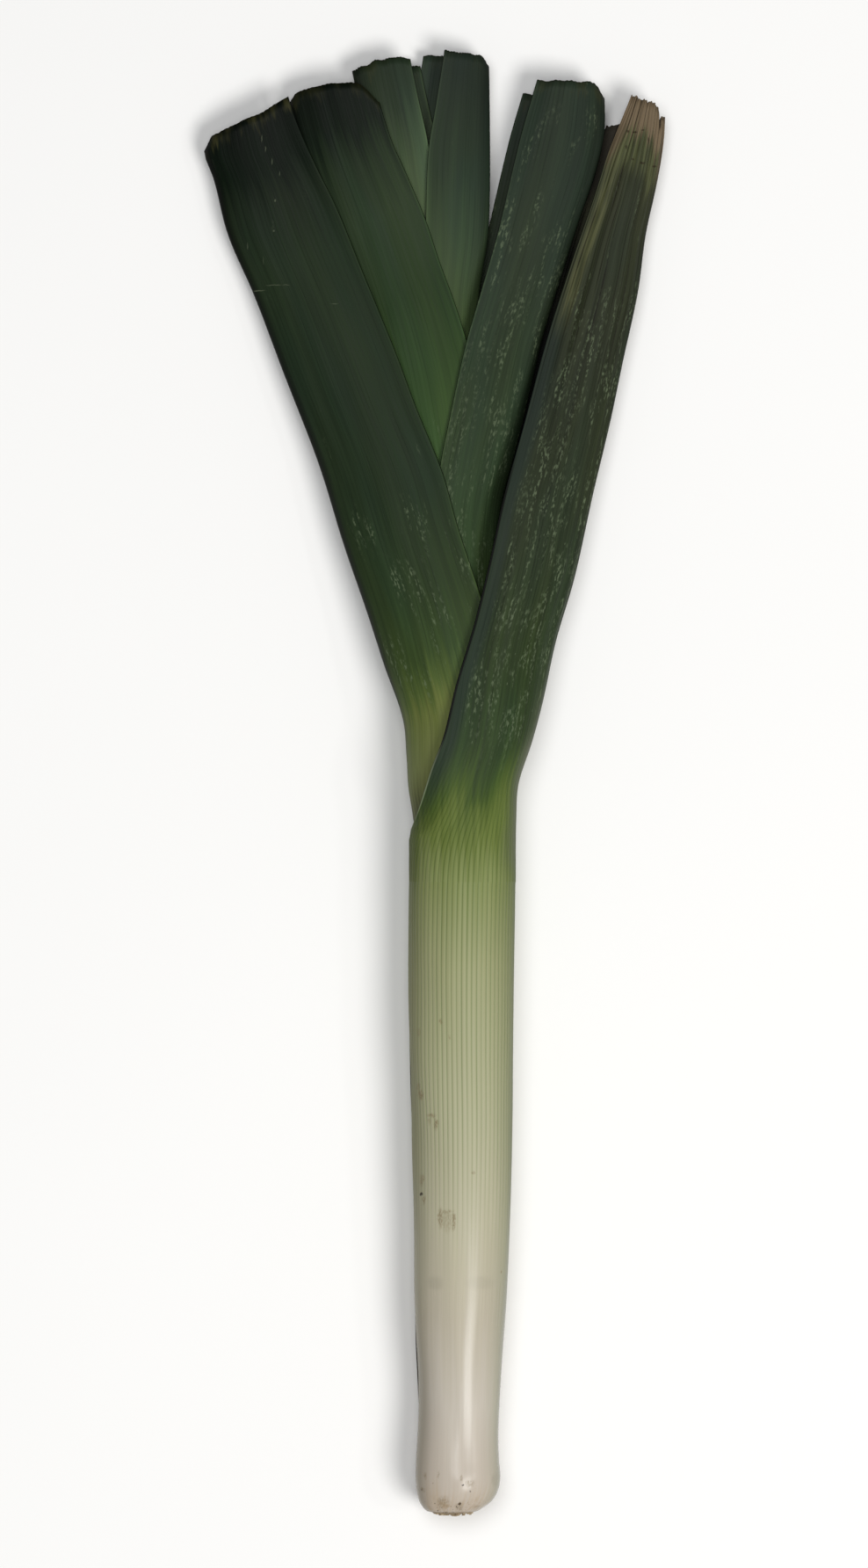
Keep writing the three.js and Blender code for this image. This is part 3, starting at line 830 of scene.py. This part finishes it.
def scribbles(shader, seed, cover):
    """Rows of pale crumbs along the leaf where thrips have fed, in loose clusters."""
    crumbs = shader.step(shader.wander(seed, 0.75, 1.9, 2.5, 0.6), 0.46, 0.64)
    rows = shader.step(shader.wander(seed + 1, 1.5, 13.0, 1.5), 0.45, 0.6)
    crowd = shader.wander(seed + 2, 5.5, 26.0)
    crowd = shader.step(crowd, shader.minus(0.72, cover), shader.minus(0.92, cover))
    return shader.product(crumbs, rows, crowd)


def ticks(shader, seed, cover):
    """Separate short pale strokes, thinly spread."""
    place = shader.sheet_place(seed, 1.1, 4.5)
    cells = shader.add("TexVoronoi", {"Vector": place, "Scale": 1.0}, voronoi_dimensions="2D")
    chance = shader.add("SeparateColor", {0: cells.outputs["Color"]}).outputs[0]
    far = shader.minus(1.0, cover)
    size = shader.step(chance, far, shader.total(far, 0.15), 0, 0.15)
    return shader.step(shader.minus(size, cells.outputs["Distance"]), -0.03, 0.06)


def dark_threads(shader, seed, pitch, low, high):
    """Thin dark lines along the leaf that come and go."""
    drift = shader.product(shader.wander(seed, 7.0, 120.0), 1.4)
    lane = shader.total(shader.math("DIVIDE", shader.across, pitch), drift)
    seen = shader.step(shader.wander(seed + 1, 1.4 * pitch, 42.0), low, high)
    return shader.product(shader.vein_lines(lane, 1.0, 3.0), seen)


def uneven_place(shader, size, strength):
    """Position from above in millimetres, pushed about a little so that blots turn ragged."""
    place = shader.object_place()
    push = shader.add("TexNoise", {"Vector": place, "Scale": 1 / (size * MM), "Detail": 3.0})
    push = push.outputs["Color"]
    for operation, amount in (("SUBTRACT", (0.5, 0.5, 0.5)), ("MULTIPLY", (strength, strength, 0))):
        push = shader.add("VectorMath", {0: push, 1: amount}, operation=operation).outputs[0]
    values = {0: place, 1: (1 / MM, 1 / MM, 0), 2: push}
    return shader.add("VectorMath", values, operation="MULTIPLY_ADD").outputs[0]


def spots(shader, place, table):
    """A mask of soft blots: (x, y, half width, half length, strength) in millimetres."""
    total = 0.0
    for x, y, wide, long, strength in table:
        values = {0: place, 1: (1 / wide, 1 / long, 0), 2: (-x / wide, -y / long, 0)}
        offset = shader.add("VectorMath", values, operation="MULTIPLY_ADD").outputs[0]
        away = shader.add("VectorMath", {0: offset}, operation="LENGTH").outputs["Value"]
        total = shader.math("MAXIMUM", total, shader.step(away, 0.35, 1.1, strength, 0))
    return total


# ---------- the leaves' colours ----------
# Display colours of each leaf at levels of y, and where the first and last of them can lie.
LEAF_TONES = {
    0: [(-250, (204, 188, 168)), (-240, (208, 197, 183)), (-213, (212, 204, 191)),
        (-183, (200, 192, 173)), (-153, (197, 192, 167)), (-108, (185, 184, 151)),
        (-63, (168, 170, 129)), (-33, (138, 148, 95)), (-21, (112, 126, 67)),
        (-12, (99, 114, 58)), (-3, (79, 97, 49)), (6, (66, 83, 48)), (15, (57, 72, 45)),
        (34, (53, 66, 42)), (87, (53, 61, 44)), (147, (52, 57, 44)), (190, (55, 59, 45)),
        (212, (60, 62, 46))],
    # leaf 1's stops up to y = 1 are darkened as painted shade, where it lies down in the oldest sheath's
    # fold
    1: [(-34, (70, 72, 45)), (-10, (76, 79, 49)), (-4, (90, 94, 60)), (1, (108, 113, 70)),
        (8, (121, 128, 80)), (26, (108, 118, 65)), (34, (84, 100, 54)), (44, (64, 80, 46)),
        (64, (53, 67, 43)), (95, (45, 57, 40)), (132, (43, 54, 39)), (177, (43, 54, 39)),
        (198, (34, 42, 31)), (207, (22, 31, 21)), (226, (18, 27, 18))],
    2: [(-34, (190, 195, 150)), (10, (120, 134, 80)), (45, (70, 90, 52)), (75, (60, 76, 48)),
        (123, (55, 68, 48)), (177, (50, 60, 46)), (225, (48, 57, 46))],
    3: [(-34, (195, 200, 160)), (40, (126, 144, 78)), (75, (84, 110, 52)), (102, (72, 95, 53)),
        (135, (60, 80, 46)), (165, (47, 63, 38)), (192, (54, 67, 47)), (209, (44, 55, 40)),
        (222, (27, 34, 27)), (236, (24, 28, 21))],
    4: [(-34, (200, 204, 168)), (60, (130, 146, 88)), (120, (84, 102, 58)), (150, (74, 91, 57)),
        (177, (65, 80, 55)), (207, (52, 64, 49)), (240, (43, 51, 43))],
    5: [(-34, (205, 208, 172)), (80, (140, 156, 98)), (140, (104, 122, 80)), (180, (86, 103, 70)),
        (207, (78, 93, 66)), (230, (50, 61, 46)), (246, (42, 51, 38))],
}
OLDEST_TONE_ENDS = (-250, 215)
OLDEST_GREEN = (-22, 30)        # over which y the oldest leaf turns green
YOUNGER_TONE_ENDS = (-34, 250)

# How strong each leaf's marks are, from the oldest leaf to the youngest.
STREAKS = (1.0, 0.6, 0.75, 0.42, 0.5, 0.42)
FLECK_STRENGTH = (0.56, 0.5, 0.38, 0.45, 0.45, 0.45)
# The line below is how strong the painted shade along each leaf's keel is, where the fold turns down
# from the light.
KEEL_SHADE = (0.1, 0.85, 0.5, 0.3, 0.3, 0.6)
# The line below gives the width in millimetres of a painted shade line along each leaf's margin.
MARGIN_SHADE_WIDTH = (0.3, 0.3, 0.25, 0.25, 0.2, 0.2)
WORN_CUT = (0, 0.7, 0.3, 0.25, 0.15, 0.2)
# Painted light: leaf 4's under half, which lies in shade, is made this much paler.
UNDER_HALF_PAINTED_LIGHT = {4: 1.45}
# Where a leaf has flecks: (y from, y to, fading over, cover inside, cover elsewhere).
FLECKED = [(8, 150, 40, 0.35, 0.14), (10, 70, 50, 0.26, 0.07), (70, 175, 30, 0.35, 0.2),
           (60, 130, 40, 0.1, 0.02), (0, 240, 20, 0.03, 0.0), (0, 240, 20, 0.0, 0.0)]

FLECK = (124, 138, 108)
# A near-black laid on as painted shade along keels and as a shade line at margins.
PAINTED_RIM_SHADE = (24, 22, 19)
CUT_YELLOW = (66, 65, 42)
CUT_LINE = (38, 36, 26)
SCRATCH = (104, 111, 90)
# Factors on whatever colour lies below.
WARMER = (1.08, 1.07, 0.96)
COOLER = (0.92, 0.99, 1.07)
THREAD_TINT = (0.3, 0.34, 0.3)
LIP_TINT = (2.0, 1.95, 1.75)
RIB_TINT = (0.42, 0.56, 0.32)
# Of the oldest leaf and the root plate.
# A painted highlight along the oldest leaf's keel at the neck.
KEEL_SHEEN_TINT = (106, 110, 90)
# Painted shade along the oldest blade's margin, where the blade turns away from the light.
MARGIN_SHADE_TINT = (46, 56, 52)
MOUTH_LINE = (150, 160, 130)
# A painted shadow: a black line on the oldest blade's margin where it stands off the leaves below.
MARGIN_SHADOW_TINT = (8, 8, 7)
# Painted shade on the strip of the oldest blade's under half seen near its margin.
UNDER_HALF_SHADE = (20, 20, 16)
# An olive streak near the margin, made lighter as painted light where the sagging margin turns from the
# light.
OLIVE_AND_LIGHT_STREAK = (92, 94, 66)
OLIVE = (92, 96, 66)
STRAW = (124, 108, 87)
DRY_SIDE = (106, 92, 74)
# The dry underside's colour, darkened as painted shade.
SHADED_DRY_UNDERSIDE = (62, 60, 54)
CREASE = (30, 24, 19)
PINCH = (44, 34, 25)
# A painted sheen on the oldest sheath's flank near the keel at the neck.
FLANK_SHEEN_TINT = (110, 114, 93)
BRUISE = (132, 114, 80)
SMUDGE = (150, 146, 128)
TAN = (176, 152, 118)
SOIL = (52, 38, 26)
PLATE_PALE = (186, 168, 138)
PLATE_BROWN = (134, 110, 82)
STUB_END = (212, 197, 168)


def fleck_layer(shader, order, seed):
    """Strokes and ticks of one leaf, 0 to 1."""
    low, high, soft, inside, outside = FLECKED[order]
    cover = shader.product(shader.window(shader.along, low, high, soft), inside - outside)
    cover = shader.total(cover, outside)
    single = ticks(shader, seed + 4, shader.product(cover, 0.3))
    return shader.math("MAXIMUM", scribbles(shader, seed, cover), single)


def uneven_tones(shader, order, green):
    """Fibres, streaks and clouds of hue on a leaf's tones, faint where the leaf isn't green."""
    seed = 10.0 + 13 * order
    fibre = shader.wander(seed, 0.6, 34.0, 3.0, 0.65)
    streak = shader.wander(seed + 1, 2.6, 90.0, 1.0)
    cloud = shader.wander(seed + 2, 11.0, 60.0, 1.0)
    varied = shader.times(shader.base, shader.step(fibre, 0.3, 0.7, 0.82, 1.18))
    varied = shader.times(varied, shader.step(streak, 0.3, 0.7, 0.84, 1.16))
    warm = shader.times(varied, (*WARMER, 1))
    varied = shader.mix(shader.step(cloud, 0.46, 0.3), varied, warm)
    shader.base = shader.mix(shader.step(green, 0, 1, 0.1, STREAKS[order]), shader.base, varied)
    shader.stain(COOLER, shader.step(cloud, 0.44, 0.64), green)
    return fibre


def blade_layers(shader, order, green, flecked):
    """A blade's dark threads and flecks, painted shade along its keel and margin edge, and a paler rim.
    """
    seed = 13.0 + 13 * order
    threads = shader.product(dark_threads(shader, seed, 1.5, 0.44, 0.64), green, STREAKS[order])
    shader.stain(THREAD_TINT, threads, 0.65)
    shader.paint(FLECK, fleck_layer(shader, order, seed + 1), flecked, FLECK_STRENGTH[order])
    from_keel = shader.math("ABSOLUTE", shader.across)
    # painted shade along the keel, where the fold turns down from the light
    shader.paint(PAINTED_RIM_SHADE, shader.step(from_keel, 0.5, 5.5, KEEL_SHADE[order], 0), green)
    mouth_y, shade_width = LEEK[order].mouth_y, MARGIN_SHADE_WIDTH[order]
    parted = shader.step(shader.along, mouth_y - 1, mouth_y + 1)
    shader.stain(LIP_TINT, shader.step(shader.edge, 0.4, 1.0, 0.45, 0), parted)
    # a painted shade line along the very edge of the margin
    shader.paint(PAINTED_RIM_SHADE, shader.step(shader.edge, 0.4 * shade_width, shade_width, 0.9, 0), parted)
    return threads


def cut_end(shader, order):
    """The last millimetres below the knife cut: a drying line and a few yellowed patches."""
    seed = 90.0 + order
    patch = shader.step(shader.wander(seed, 4.5, 12.0), 0.4, 0.68, 0, WORN_CUT[order])
    ragged = shader.step(shader.wander(seed + 1, 1.6, ENDLESS), 0.3, 0.7, 0, 5)
    depth = shader.minus(shader.tip, ragged)
    shader.paint(CUT_YELLOW, patch, shader.step(depth, 3.0, 0.0))
    shader.paint(CUT_LINE, shader.step(shader.tip, 0.1, 0.5, 0.75, 0))


# Marks seen from above on the oldest left leaf: a pale scratch, two dots and a crack at the keel.
SCRATCHES = [
    (-58.5, 219.5, 0.22, 1.5, 0.7), (-57.2, 216.0, 0.2, 1.2, 0.6), (-55.0, 211.8, 0.2, 1.4, 0.6),
    (-52.4, 207.6, 0.18, 1.0, 0.5), (-54.0, 198.4, 0.4, 0.5, 0.7), (-54.5, 188.0, 0.4, 0.5, 0.6),
    (-59.5, 167.8, 2.6, 0.22, 0.75), (-54.5, 169.6, 3.2, 0.22, 0.6), (-50.2, 169.6, 1.6, 0.2, 0.45),
    (-63.5, 183.0, 0.25, 1.5, 0.4), (-58.0, 178.0, 0.2, 1.6, 0.4), (-33.6, 163.0, 1.6, 0.2, 0.5),
]


def leaf_material(order):
    shader = Shader(f"leaf_{order}")
    shader.read_sheet()
    along = shader.along
    shift = shader.product(shader.wander(3.0 * order, 1.8, 60.0, 1.0), 24.0)
    lean = shader.product(shader.math("ABSOLUTE", shader.vein), -14.0)
    reach = shader.total(along, shift, lean, -5.0)
    shader.tones_along(reach, LEAF_TONES[order], YOUNGER_TONE_ENDS)
    green = shader.step(along, -22, 30 + 16 * order)
    flecked = shader.step(along, 2 + 14 * order, 24 + 14 * order)
    fibre = uneven_tones(shader, order, green)
    threads = blade_layers(shader, order, green, flecked)
    # painted light on the under half, which lies in shade
    if order in UNDER_HALF_PAINTED_LIGHT:
        painted_light = shader.step(shader.under, 0, 1, 1.0, UNDER_HALF_PAINTED_LIGHT[order])
        shader.base = shader.times(shader.base, painted_light)
    if order == 1:
        scratched = spots(shader, uneven_place(shader, 2.0, 0.9), SCRATCHES)
        shader.paint(SCRATCH, scratched, 0.75)
    cut_end(shader, order)
    height = shader.minus(shader.product(fibre, FIBRE_BUMP), shader.product(threads, THREAD_BUMP))
    return shader.finish(shader.step(fibre, 0.3, 0.7, 0.46, 0.6), height, LEAF_SHEEN)


# ---------- the oldest leaf's and the root plate's colours ----------
# Soil and bruises on the shank, seen from above.
BROWN_MARKS = [
    (-4.2, -106.4, 1.1, 2.4, 0.75), (-5.0, -103.6, 0.8, 1.6, 0.5), (-0.4, -113.4, 1.9, 1.0, 0.6),
    (0.9, -116.2, 0.8, 2.4, 0.7), (-1.4, -115.2, 0.7, 1.6, 0.35), (2.6, -81.2, 0.6, 1.3, 0.6),
    (5.6, -86.6, 0.6, 1.0, 0.35), (-4.9, -85.2, 0.8, 1.8, 0.35), (-3.9, -135.4, 1.0, 2.6, 0.65),
    (-3.0, -142.2, 0.6, 1.8, 0.65), (2.5, -148.0, 1.1, 4.4, 0.6), (6.9, -149.0, 0.9, 4.2, 0.65),
    (4.7, -145.9, 2.6, 1.0, 0.5), (4.7, -149.0, 2.6, 4.6, 0.3), (13.7, -132.6, 0.8, 0.8, 0.55),
    (23.2, -166.6, 0.4, 0.8, 0.75), (12.3, -238.4, 1.9, 1.6, 0.6), (9.6, -236.6, 0.6, 1.5, 0.5),
    (-3.6, -240.9, 0.9, 1.2, 0.7), (-2.7, -236.2, 0.6, 1.6, 0.45), (15.0, -246.8, 1.3, 0.7, 0.55),
    (3.3, -245.2, 2.6, 3.0, 0.5), (9.0, -246.5, 1.6, 2.0, 0.55), (1.8, -235.7, 0.4, 1.6, 0.4),
]
GREY_MARKS = [
    (0.7, -170.2, 3.4, 3.0, 0.22), (16.2, -170.2, 6.0, 3.0, 0.16), (21.2, -237.8, 1.6, 3.2, 0.3),
    (16.0, -168.6, 2.2, 1.2, 0.16),
]
BLACK_MARKS = [
    (-3.9, -140.2, 0.55, 0.75, 0.95), (10.1, -238.9, 0.5, 0.4, 1.0), (9.2, -245.3, 0.7, 0.65, 0.9),
    (8.2, -246.6, 0.35, 0.5, 0.7), (4.1, -249.1, 1.0, 0.8, 0.9), (6.8, -248.7, 0.5, 0.4, 0.8),
    (1.6, -248.2, 0.35, 0.3, 0.7), (0.5, -245.5, 0.3, 0.3, 0.7), (5.4, -249.8, 0.8, 0.4, 0.8),
    (12.6, -241.0, 0.3, 0.5, 0.6), (-3.9, -241.3, 0.35, 0.4, 0.5), (0.0, -238.5, 0.25, 0.25, 0.4),
]
# The dry tip: dark pinches across it.
PINCHES = [
    (66.4, 222.0, 0.7, 0.5, 0.7), (68.8, 221.6, 1.0, 0.4, 0.8), (71.6, 222.4, 0.8, 0.4, 0.6),
    (66.0, 216.6, 0.5, 1.0, 0.6), (68.2, 212.4, 0.8, 0.4, 0.6), (71.4, 211.2, 1.2, 0.5, 0.7),
    (75.6, 210.2, 1.0, 0.5, 0.7), (73.5, 219.0, 0.4, 1.6, 0.5),
]
# Bands of colour along the oldest leaf: the map that they follow, where on it they are full and gone,
# how strong they are, and the y from, the y to and the length over which they fade beyond those.
# a painted highlight along the keel
KEEL_SHEEN_BAND = ("across", 2.0, 10.0, 0.42, 0, 10, 34, KEEL_SHEEN_TINT)
# painted shade along the margin
MARGIN_SHADE_BAND = ("edge", 3.0, 7.0, 0.6, 5, 150, 25, MARGIN_SHADE_TINT)
MOUTH_BAND = ("edge", 0.3, 0.7, 0.6, -15, 8, 8, MOUTH_LINE)
# a painted black shadow line along the margin
MARGIN_SHADOW_BAND = ("edge", 0.5, 1.0, 0.95, 20, 95, 26, MARGIN_SHADOW_TINT)
# a painted sheen on the flank near the keel
FLANK_SHEEN_BAND = ("lane", 0.06, 0.3, 0.55, -24, 10, 10, FLANK_SHEEN_TINT)
# Painted shade on the oldest sheath's flanks, where they turn from the light: the lanes from bare to
# shaded (0 at the keel, 1 at the margins), the y where it is fully shaded and where that ends, and the
# colour's factors.
FLANK_SHADE_ZONES = [
    ((0.7, 0.92), (-30, 0), (0.6, 0.59, 0.5)),
    ((0.66, 0.86), (-205, -165), (0.84, 0.82, 0.8)),
    ((0.16, 0.03), (-18, -2), (0.76, 0.78, 0.82)),
    ((0.34, 0.05), (-30, 0), (0.62, 0.66, 0.56)),
]


def paint_bands(shader, *bands):
    for map_name, full, gone, strength, low, high, soft, tint in bands:
        share = shader.step(getattr(shader, map_name), full, gone, strength, 0)
        shader.paint(tint, share, shader.window(shader.along, low, high, soft))


def oldest_leaf_tones(shader, gloss):
    """From the white root end to the green blade. Paler and greener lanes climb and dip there."""
    along, lane = shader.along, shader.lane
    shift = shader.product(shader.wander(1.0, 1.3, 60.0, 1.0), 20.0)
    margin = shader.step(lane, 0.7, 1.05, 0, 8)
    middle = shader.product(shader.window(lane, 0.66, 0.76, 0.05), shader.step(along, -8, 8, -5, 0))
    dip = shader.product(shader.window(lane, 0.47, 0.6, 0.05), shader.window(along, -4, 10, 7), 6.0)
    climb = shader.product(shader.step(along, -24, -4, -2, -8), shader.step(along, 20, 2))
    climb = shader.product(climb, shader.window(lane, 0.24, 0.35, 0.08))
    reach = shader.total(along, shift, margin, middle, dip, climb, -9.0)
    shader.tones_along(reach, LEAF_TONES[0], OLDEST_TONE_ENDS, gloss)


def sheath_layers(shader):
    """What the oldest sheath has: dark lines between its ribs, painted shade on its flanks and a painted
    sheen near the keel.
    """
    along, lane = shader.along, shader.lane
    uneven = shader.step(shader.wander(201.0, 2.2, 90.0, 1.0), 0.3, 0.7, 0.75, 1.1)
    seen = shader.product(shader.step(along, -176, -112, 0.0, 0.68), shader.step(along, -20, 8, 1, 0.12))
    ribs = shader.product(shader.vein_lines(shader.vein, RIBS_PER_HALF, 2.2), seen, uneven)
    shader.stain(RIB_TINT, ribs)
    # painted shade on the flanks
    for lanes, (full, ended), factors in FLANK_SHADE_ZONES:
        shader.stain(factors, shader.step(lane, *lanes), shader.step(along, ended, full))
    paint_bands(shader, FLANK_SHEEN_BAND)
    return ribs


def soil_layers(shader):
    """Placed smudges on the upper side, and fine soil left all round the root end."""
    place = uneven_place(shader, 2.2, 1.6)
    level = shader.add("SeparateXYZ", {0: shader.object_place()}).outputs[2]
    upper = shader.step(level, 0.012, 0.016)
    grain = shader.step(shader.wander(301.0, 0.5, 0.9, 3.0), 0.36, 0.6, 0.25, 1.1)
    for table, tint, texture in ((BROWN_MARKS, BRUISE, grain), (GREY_MARKS, SMUDGE, 1.0),
                                 (BLACK_MARKS, SOIL, 1.0)):
        mask = shader.product(spots(shader, place, table), upper, texture)
        shader.paint(tint, shader.math("MINIMUM", mask, 1.0))
    dust = shader.step(shader.wander(302.0, 5.0, 4.0, 4.0, 0.7), 0.46, 0.66, 0, 0.7)
    shader.paint(TAN, dust, shader.step(shader.along, -241, -249))
    speck = shader.step(shader.wander(303.0, 0.55, 0.6, 1.0), 0.68, 0.73)
    shader.paint(SOIL, speck, shader.step(shader.along, -243, -248.5))


def dry_tip_layers(shader, fibre):
    """The oldest blade's end: olive, then straw-coloured, with brown creases and pinches. Its olive
    streak is partly painted light, and its under half is darkened there as painted shade.
    """
    along, edge, tip = shader.along, shader.edge, shader.tip
    away = shader.total(tip, shader.product(shader.minus(fibre, 0.5), 24.0))
    patchy = shader.step(shader.wander(401.0, 1.3, 14.0, 1.0), 0.34, 0.6, 0.4, 1)
    streak = shader.window(edge, 2.6, 4.6, 2.2)
    # an olive streak that is partly painted light
    shader.paint(OLIVE_AND_LIGHT_STREAK, streak, shader.window(along, 170, 240, 22), patchy)
    shader.paint(OLIVE, shader.step(away, 18, 26, 0.85, 0), patchy)
    keel_side = shader.step(shader.across, 1.5, 5.0, 0.8, 0)
    side = shader.math("MAXIMUM", shader.step(edge, 2.0, 4.4, 0.85, 0), keel_side)
    shader.paint(DRY_SIDE, side, shader.step(away, 26, 16))
    shader.paint(STRAW, shader.step(away, 8, 13, 0.95, 0))
    # the under half near the cut, dry and darkened as painted shade
    shader.paint(SHADED_DRY_UNDERSIDE, shader.step(tip, 18, 40, 0.9, 0), shader.under)
    creases = dark_threads(shader, 402.0, 2.6, 0.36, 0.6)
    creases = shader.product(creases, shader.step(along, 120, 185, 0.15, 0.8))
    shader.paint(CREASE, creases)
    shader.paint(PINCH, spots(shader, uneven_place(shader, 1.6, 0.9), PINCHES))
    return creases


def margin_lines(shader):
    """The oldest blade's margin: pale at the mouth, a painted black shadow line further out, and painted
    shade on its under half's strip near the margin.
    """
    paint_bands(shader, MOUTH_BAND, MARGIN_SHADOW_BAND)
    # painted shade on the under half's strip near the margin
    strip = shader.step(shader.edge, 5.0, 10.0, 0.85, 0)
    ends = shader.product(shader.step(shader.along, 40, 80), shader.step(shader.tip, 22, 45))
    shader.paint(UNDER_HALF_SHADE, strip, shader.under, ends)


def shank_material():
    shader = Shader("shank")
    shader.read_sheet(folded=True)
    along = shader.along
    oldest_leaf_tones(shader, SHANK_GLOSS)
    fibre = uneven_tones(shader, 0, shader.step(along, *OLDEST_GREEN))
    ribs = sheath_layers(shader)
    soil_layers(shader)
    height = shader.product(fibre, shader.step(along, -200, -120, 0.008, 0.02))
    height = shader.minus(height, shader.product(ribs, RIB_BUMP))
    streaky = shader.step(fibre, 0.35, 0.65, 0.19, 0.26)
    dull = shader.step(along, -195, -120, 0.0, 0.3)
    return shader.finish(shader.total(streaky, dull), height, SHANK_SHEEN)


def oldest_blade_material():
    shader = Shader("oldest_blade")
    shader.read_sheet(folded=True)
    green = shader.step(shader.along, *OLDEST_GREEN)
    oldest_leaf_tones(shader, LEAF_GLOSS)
    fibre = uneven_tones(shader, 0, green)
    flecked = shader.product(shader.step(shader.edge, 3.0, 5.5), shader.step(shader.along, 0, 16))
    threads = blade_layers(shader, 0, green, flecked)
    # a painted highlight along the keel and painted shade along the margin
    paint_bands(shader, KEEL_SHEEN_BAND, MARGIN_SHADE_BAND)
    creases = dry_tip_layers(shader, fibre)
    margin_lines(shader)
    ribs = sheath_layers(shader)
    dips = shader.math("MAXIMUM", creases, shader.product(threads, 0.4))
    height = shader.product(fibre, shader.step(green, 0, 1, 0.02, FIBRE_BUMP))
    height = shader.minus(height, shader.product(shader.total(ribs, dips), RIB_BUMP))
    return shader.finish(shader.step(fibre, 0.35, 0.65, 0.46, 0.62), height, LEAF_SHEEN)


def root_material():
    shader = Shader("root_plate")
    place = shader.object_place()
    paleness, _ = shader.pair("stubs")
    blotch = shader.noise(place, 700.0, 4.0, 0.6)
    grain = shader.noise(place, 4200.0, 3.0, 0.6)
    shader.base = shader.mix(shader.step(blotch, 0.4, 0.66), seen_as(*PLATE_PALE), seen_as(*PLATE_BROWN))
    shader.paint(STUB_END, shader.step(paleness, 0.1, 0.9, 0, 0.85))
    shader.paint(SOIL, shader.step(grain, 0.56, 0.72, 0, 0.75))
    return shader.finish(shader.step(grain, 0.3, 0.7, 0.7, 0.95), shader.product(grain, 0.15))


# ---------- putting it together ----------
def dress(piece, node, slot, *materials):
    for material in materials:
        piece.data.materials.append(material)
    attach(piece, "root")
    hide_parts(node)


oldest = shank_with_oldest_leaf(LEEK[0])
for face in oldest.data.polygons:
    face.material_index = int(face.center.y > SOCKET_FLOOR_Y * MM)
dress(oldest, LEEK[0].node, "shank_and_oldest_leaf", shank_material(), oldest_blade_material())
for young in LEEK[1:]:
    slot = "leaf" if young.order < 4 else "young_leaf"
    dress(younger_leaf(young), young.node, slot, leaf_material(young.order))
dress(root_plate(), "root_plate", "root", root_material())


# ---------- floor, light and camera ----------
PHOTO_SIZE = (988, 1784)        # pixels
PHOTO_SCALE = 0.3               # millimetres to a pixel
VIEW_CENTRE = (0.3, -0.75)      # millimetres
VIEW_HEIGHT = 14.0              # the level at which that scale holds
CAMERA_DISTANCE = 3000.0
SENSOR = 36.0
FLOOR_REACH = 12.0              # metres, and just below the surface the leek lies on
FLOOR_LEVEL = -0.0002
FLOOR_TONES = (0.86, 0.855, 0.845, 1), (0.9, 0.895, 0.885, 1)
MIDDLE, SHANK_PLACE = (0, 0, 0), (0, -0.2, 0)
WARM, COOL = (1.0, 0.99, 0.97), (0.98, 0.99, 1.0)
# The lamps: name, place, what they point at, width in metres, watts and colour.
LAMPS = [
    ("key", (1.25, -0.95, 2.6), MIDDLE, 1.3, 56.0, WARM),
    ("top", (-0.35, 0.45, 3.0), MIDDLE, 1.6, 39.0, COOL),
    ("glint_left", (0.0, -0.35, 3.2), SHANK_PLACE, 0.2, 4.0, WARM),
    ("glint_right", (2.4, -0.35, 2.6), SHANK_PLACE, 0.24, 5.0, WARM),
]
WORLD_STRENGTH = 0.16


def make_floor():
    mesh = bpy.data.meshes.new("floor")
    corners = [(x * FLOOR_REACH, y * FLOOR_REACH, FLOOR_LEVEL)
               for x, y in ((-1, -1), (1, -1), (1, 1), (-1, 1))]
    mesh.from_pydata(corners, [], [(0, 1, 2, 3)])
    shader = Shader("floor")
    cloud = shader.noise(shader.object_place(), 3.0)
    shader.base = shader.mix(cloud, *FLOOR_TONES)
    mesh.materials.append(shader.finish(0.8, cloud))
    place_object("floor", mesh)


def make_light(name, place, target, size, power, tint):
    light = bpy.data.lights.new(name, "AREA")
    light.shape, light.size, light.energy, light.color = "DISK", size, power, tint
    lamp = place_object(name, light)
    lamp.location = Vector(place)
    lamp.rotation_euler = (Vector(target) - Vector(place)).to_track_quat("-Z", "Y").to_euler()


def make_world(strength, tint):
    world = bpy.data.worlds.new("studio")
    world.use_nodes = True
    background = world.node_tree.nodes["Background"]
    background.inputs["Color"].default_value = tint
    background.inputs["Strength"].default_value = strength
    bpy.context.scene.world = world


def make_camera():
    data = bpy.data.cameras.new("camera")
    data.sensor_width = SENSOR
    data.lens = SENSOR * CAMERA_DISTANCE / (PHOTO_SIZE[1] * PHOTO_SCALE)
    data.clip_end = 100.0
    camera = place_object("camera", data)
    height = VIEW_HEIGHT + CAMERA_DISTANCE
    camera.location = Vector((VIEW_CENTRE[0], VIEW_CENTRE[1], height)) * MM
    bpy.context.scene.camera = camera


make_floor()
for lamp_row in LAMPS:
    make_light(*lamp_row)
make_world(WORLD_STRENGTH, (*COOL, 1.0))
make_camera()
bpy.context.scene.view_settings.view_transform = "Standard"
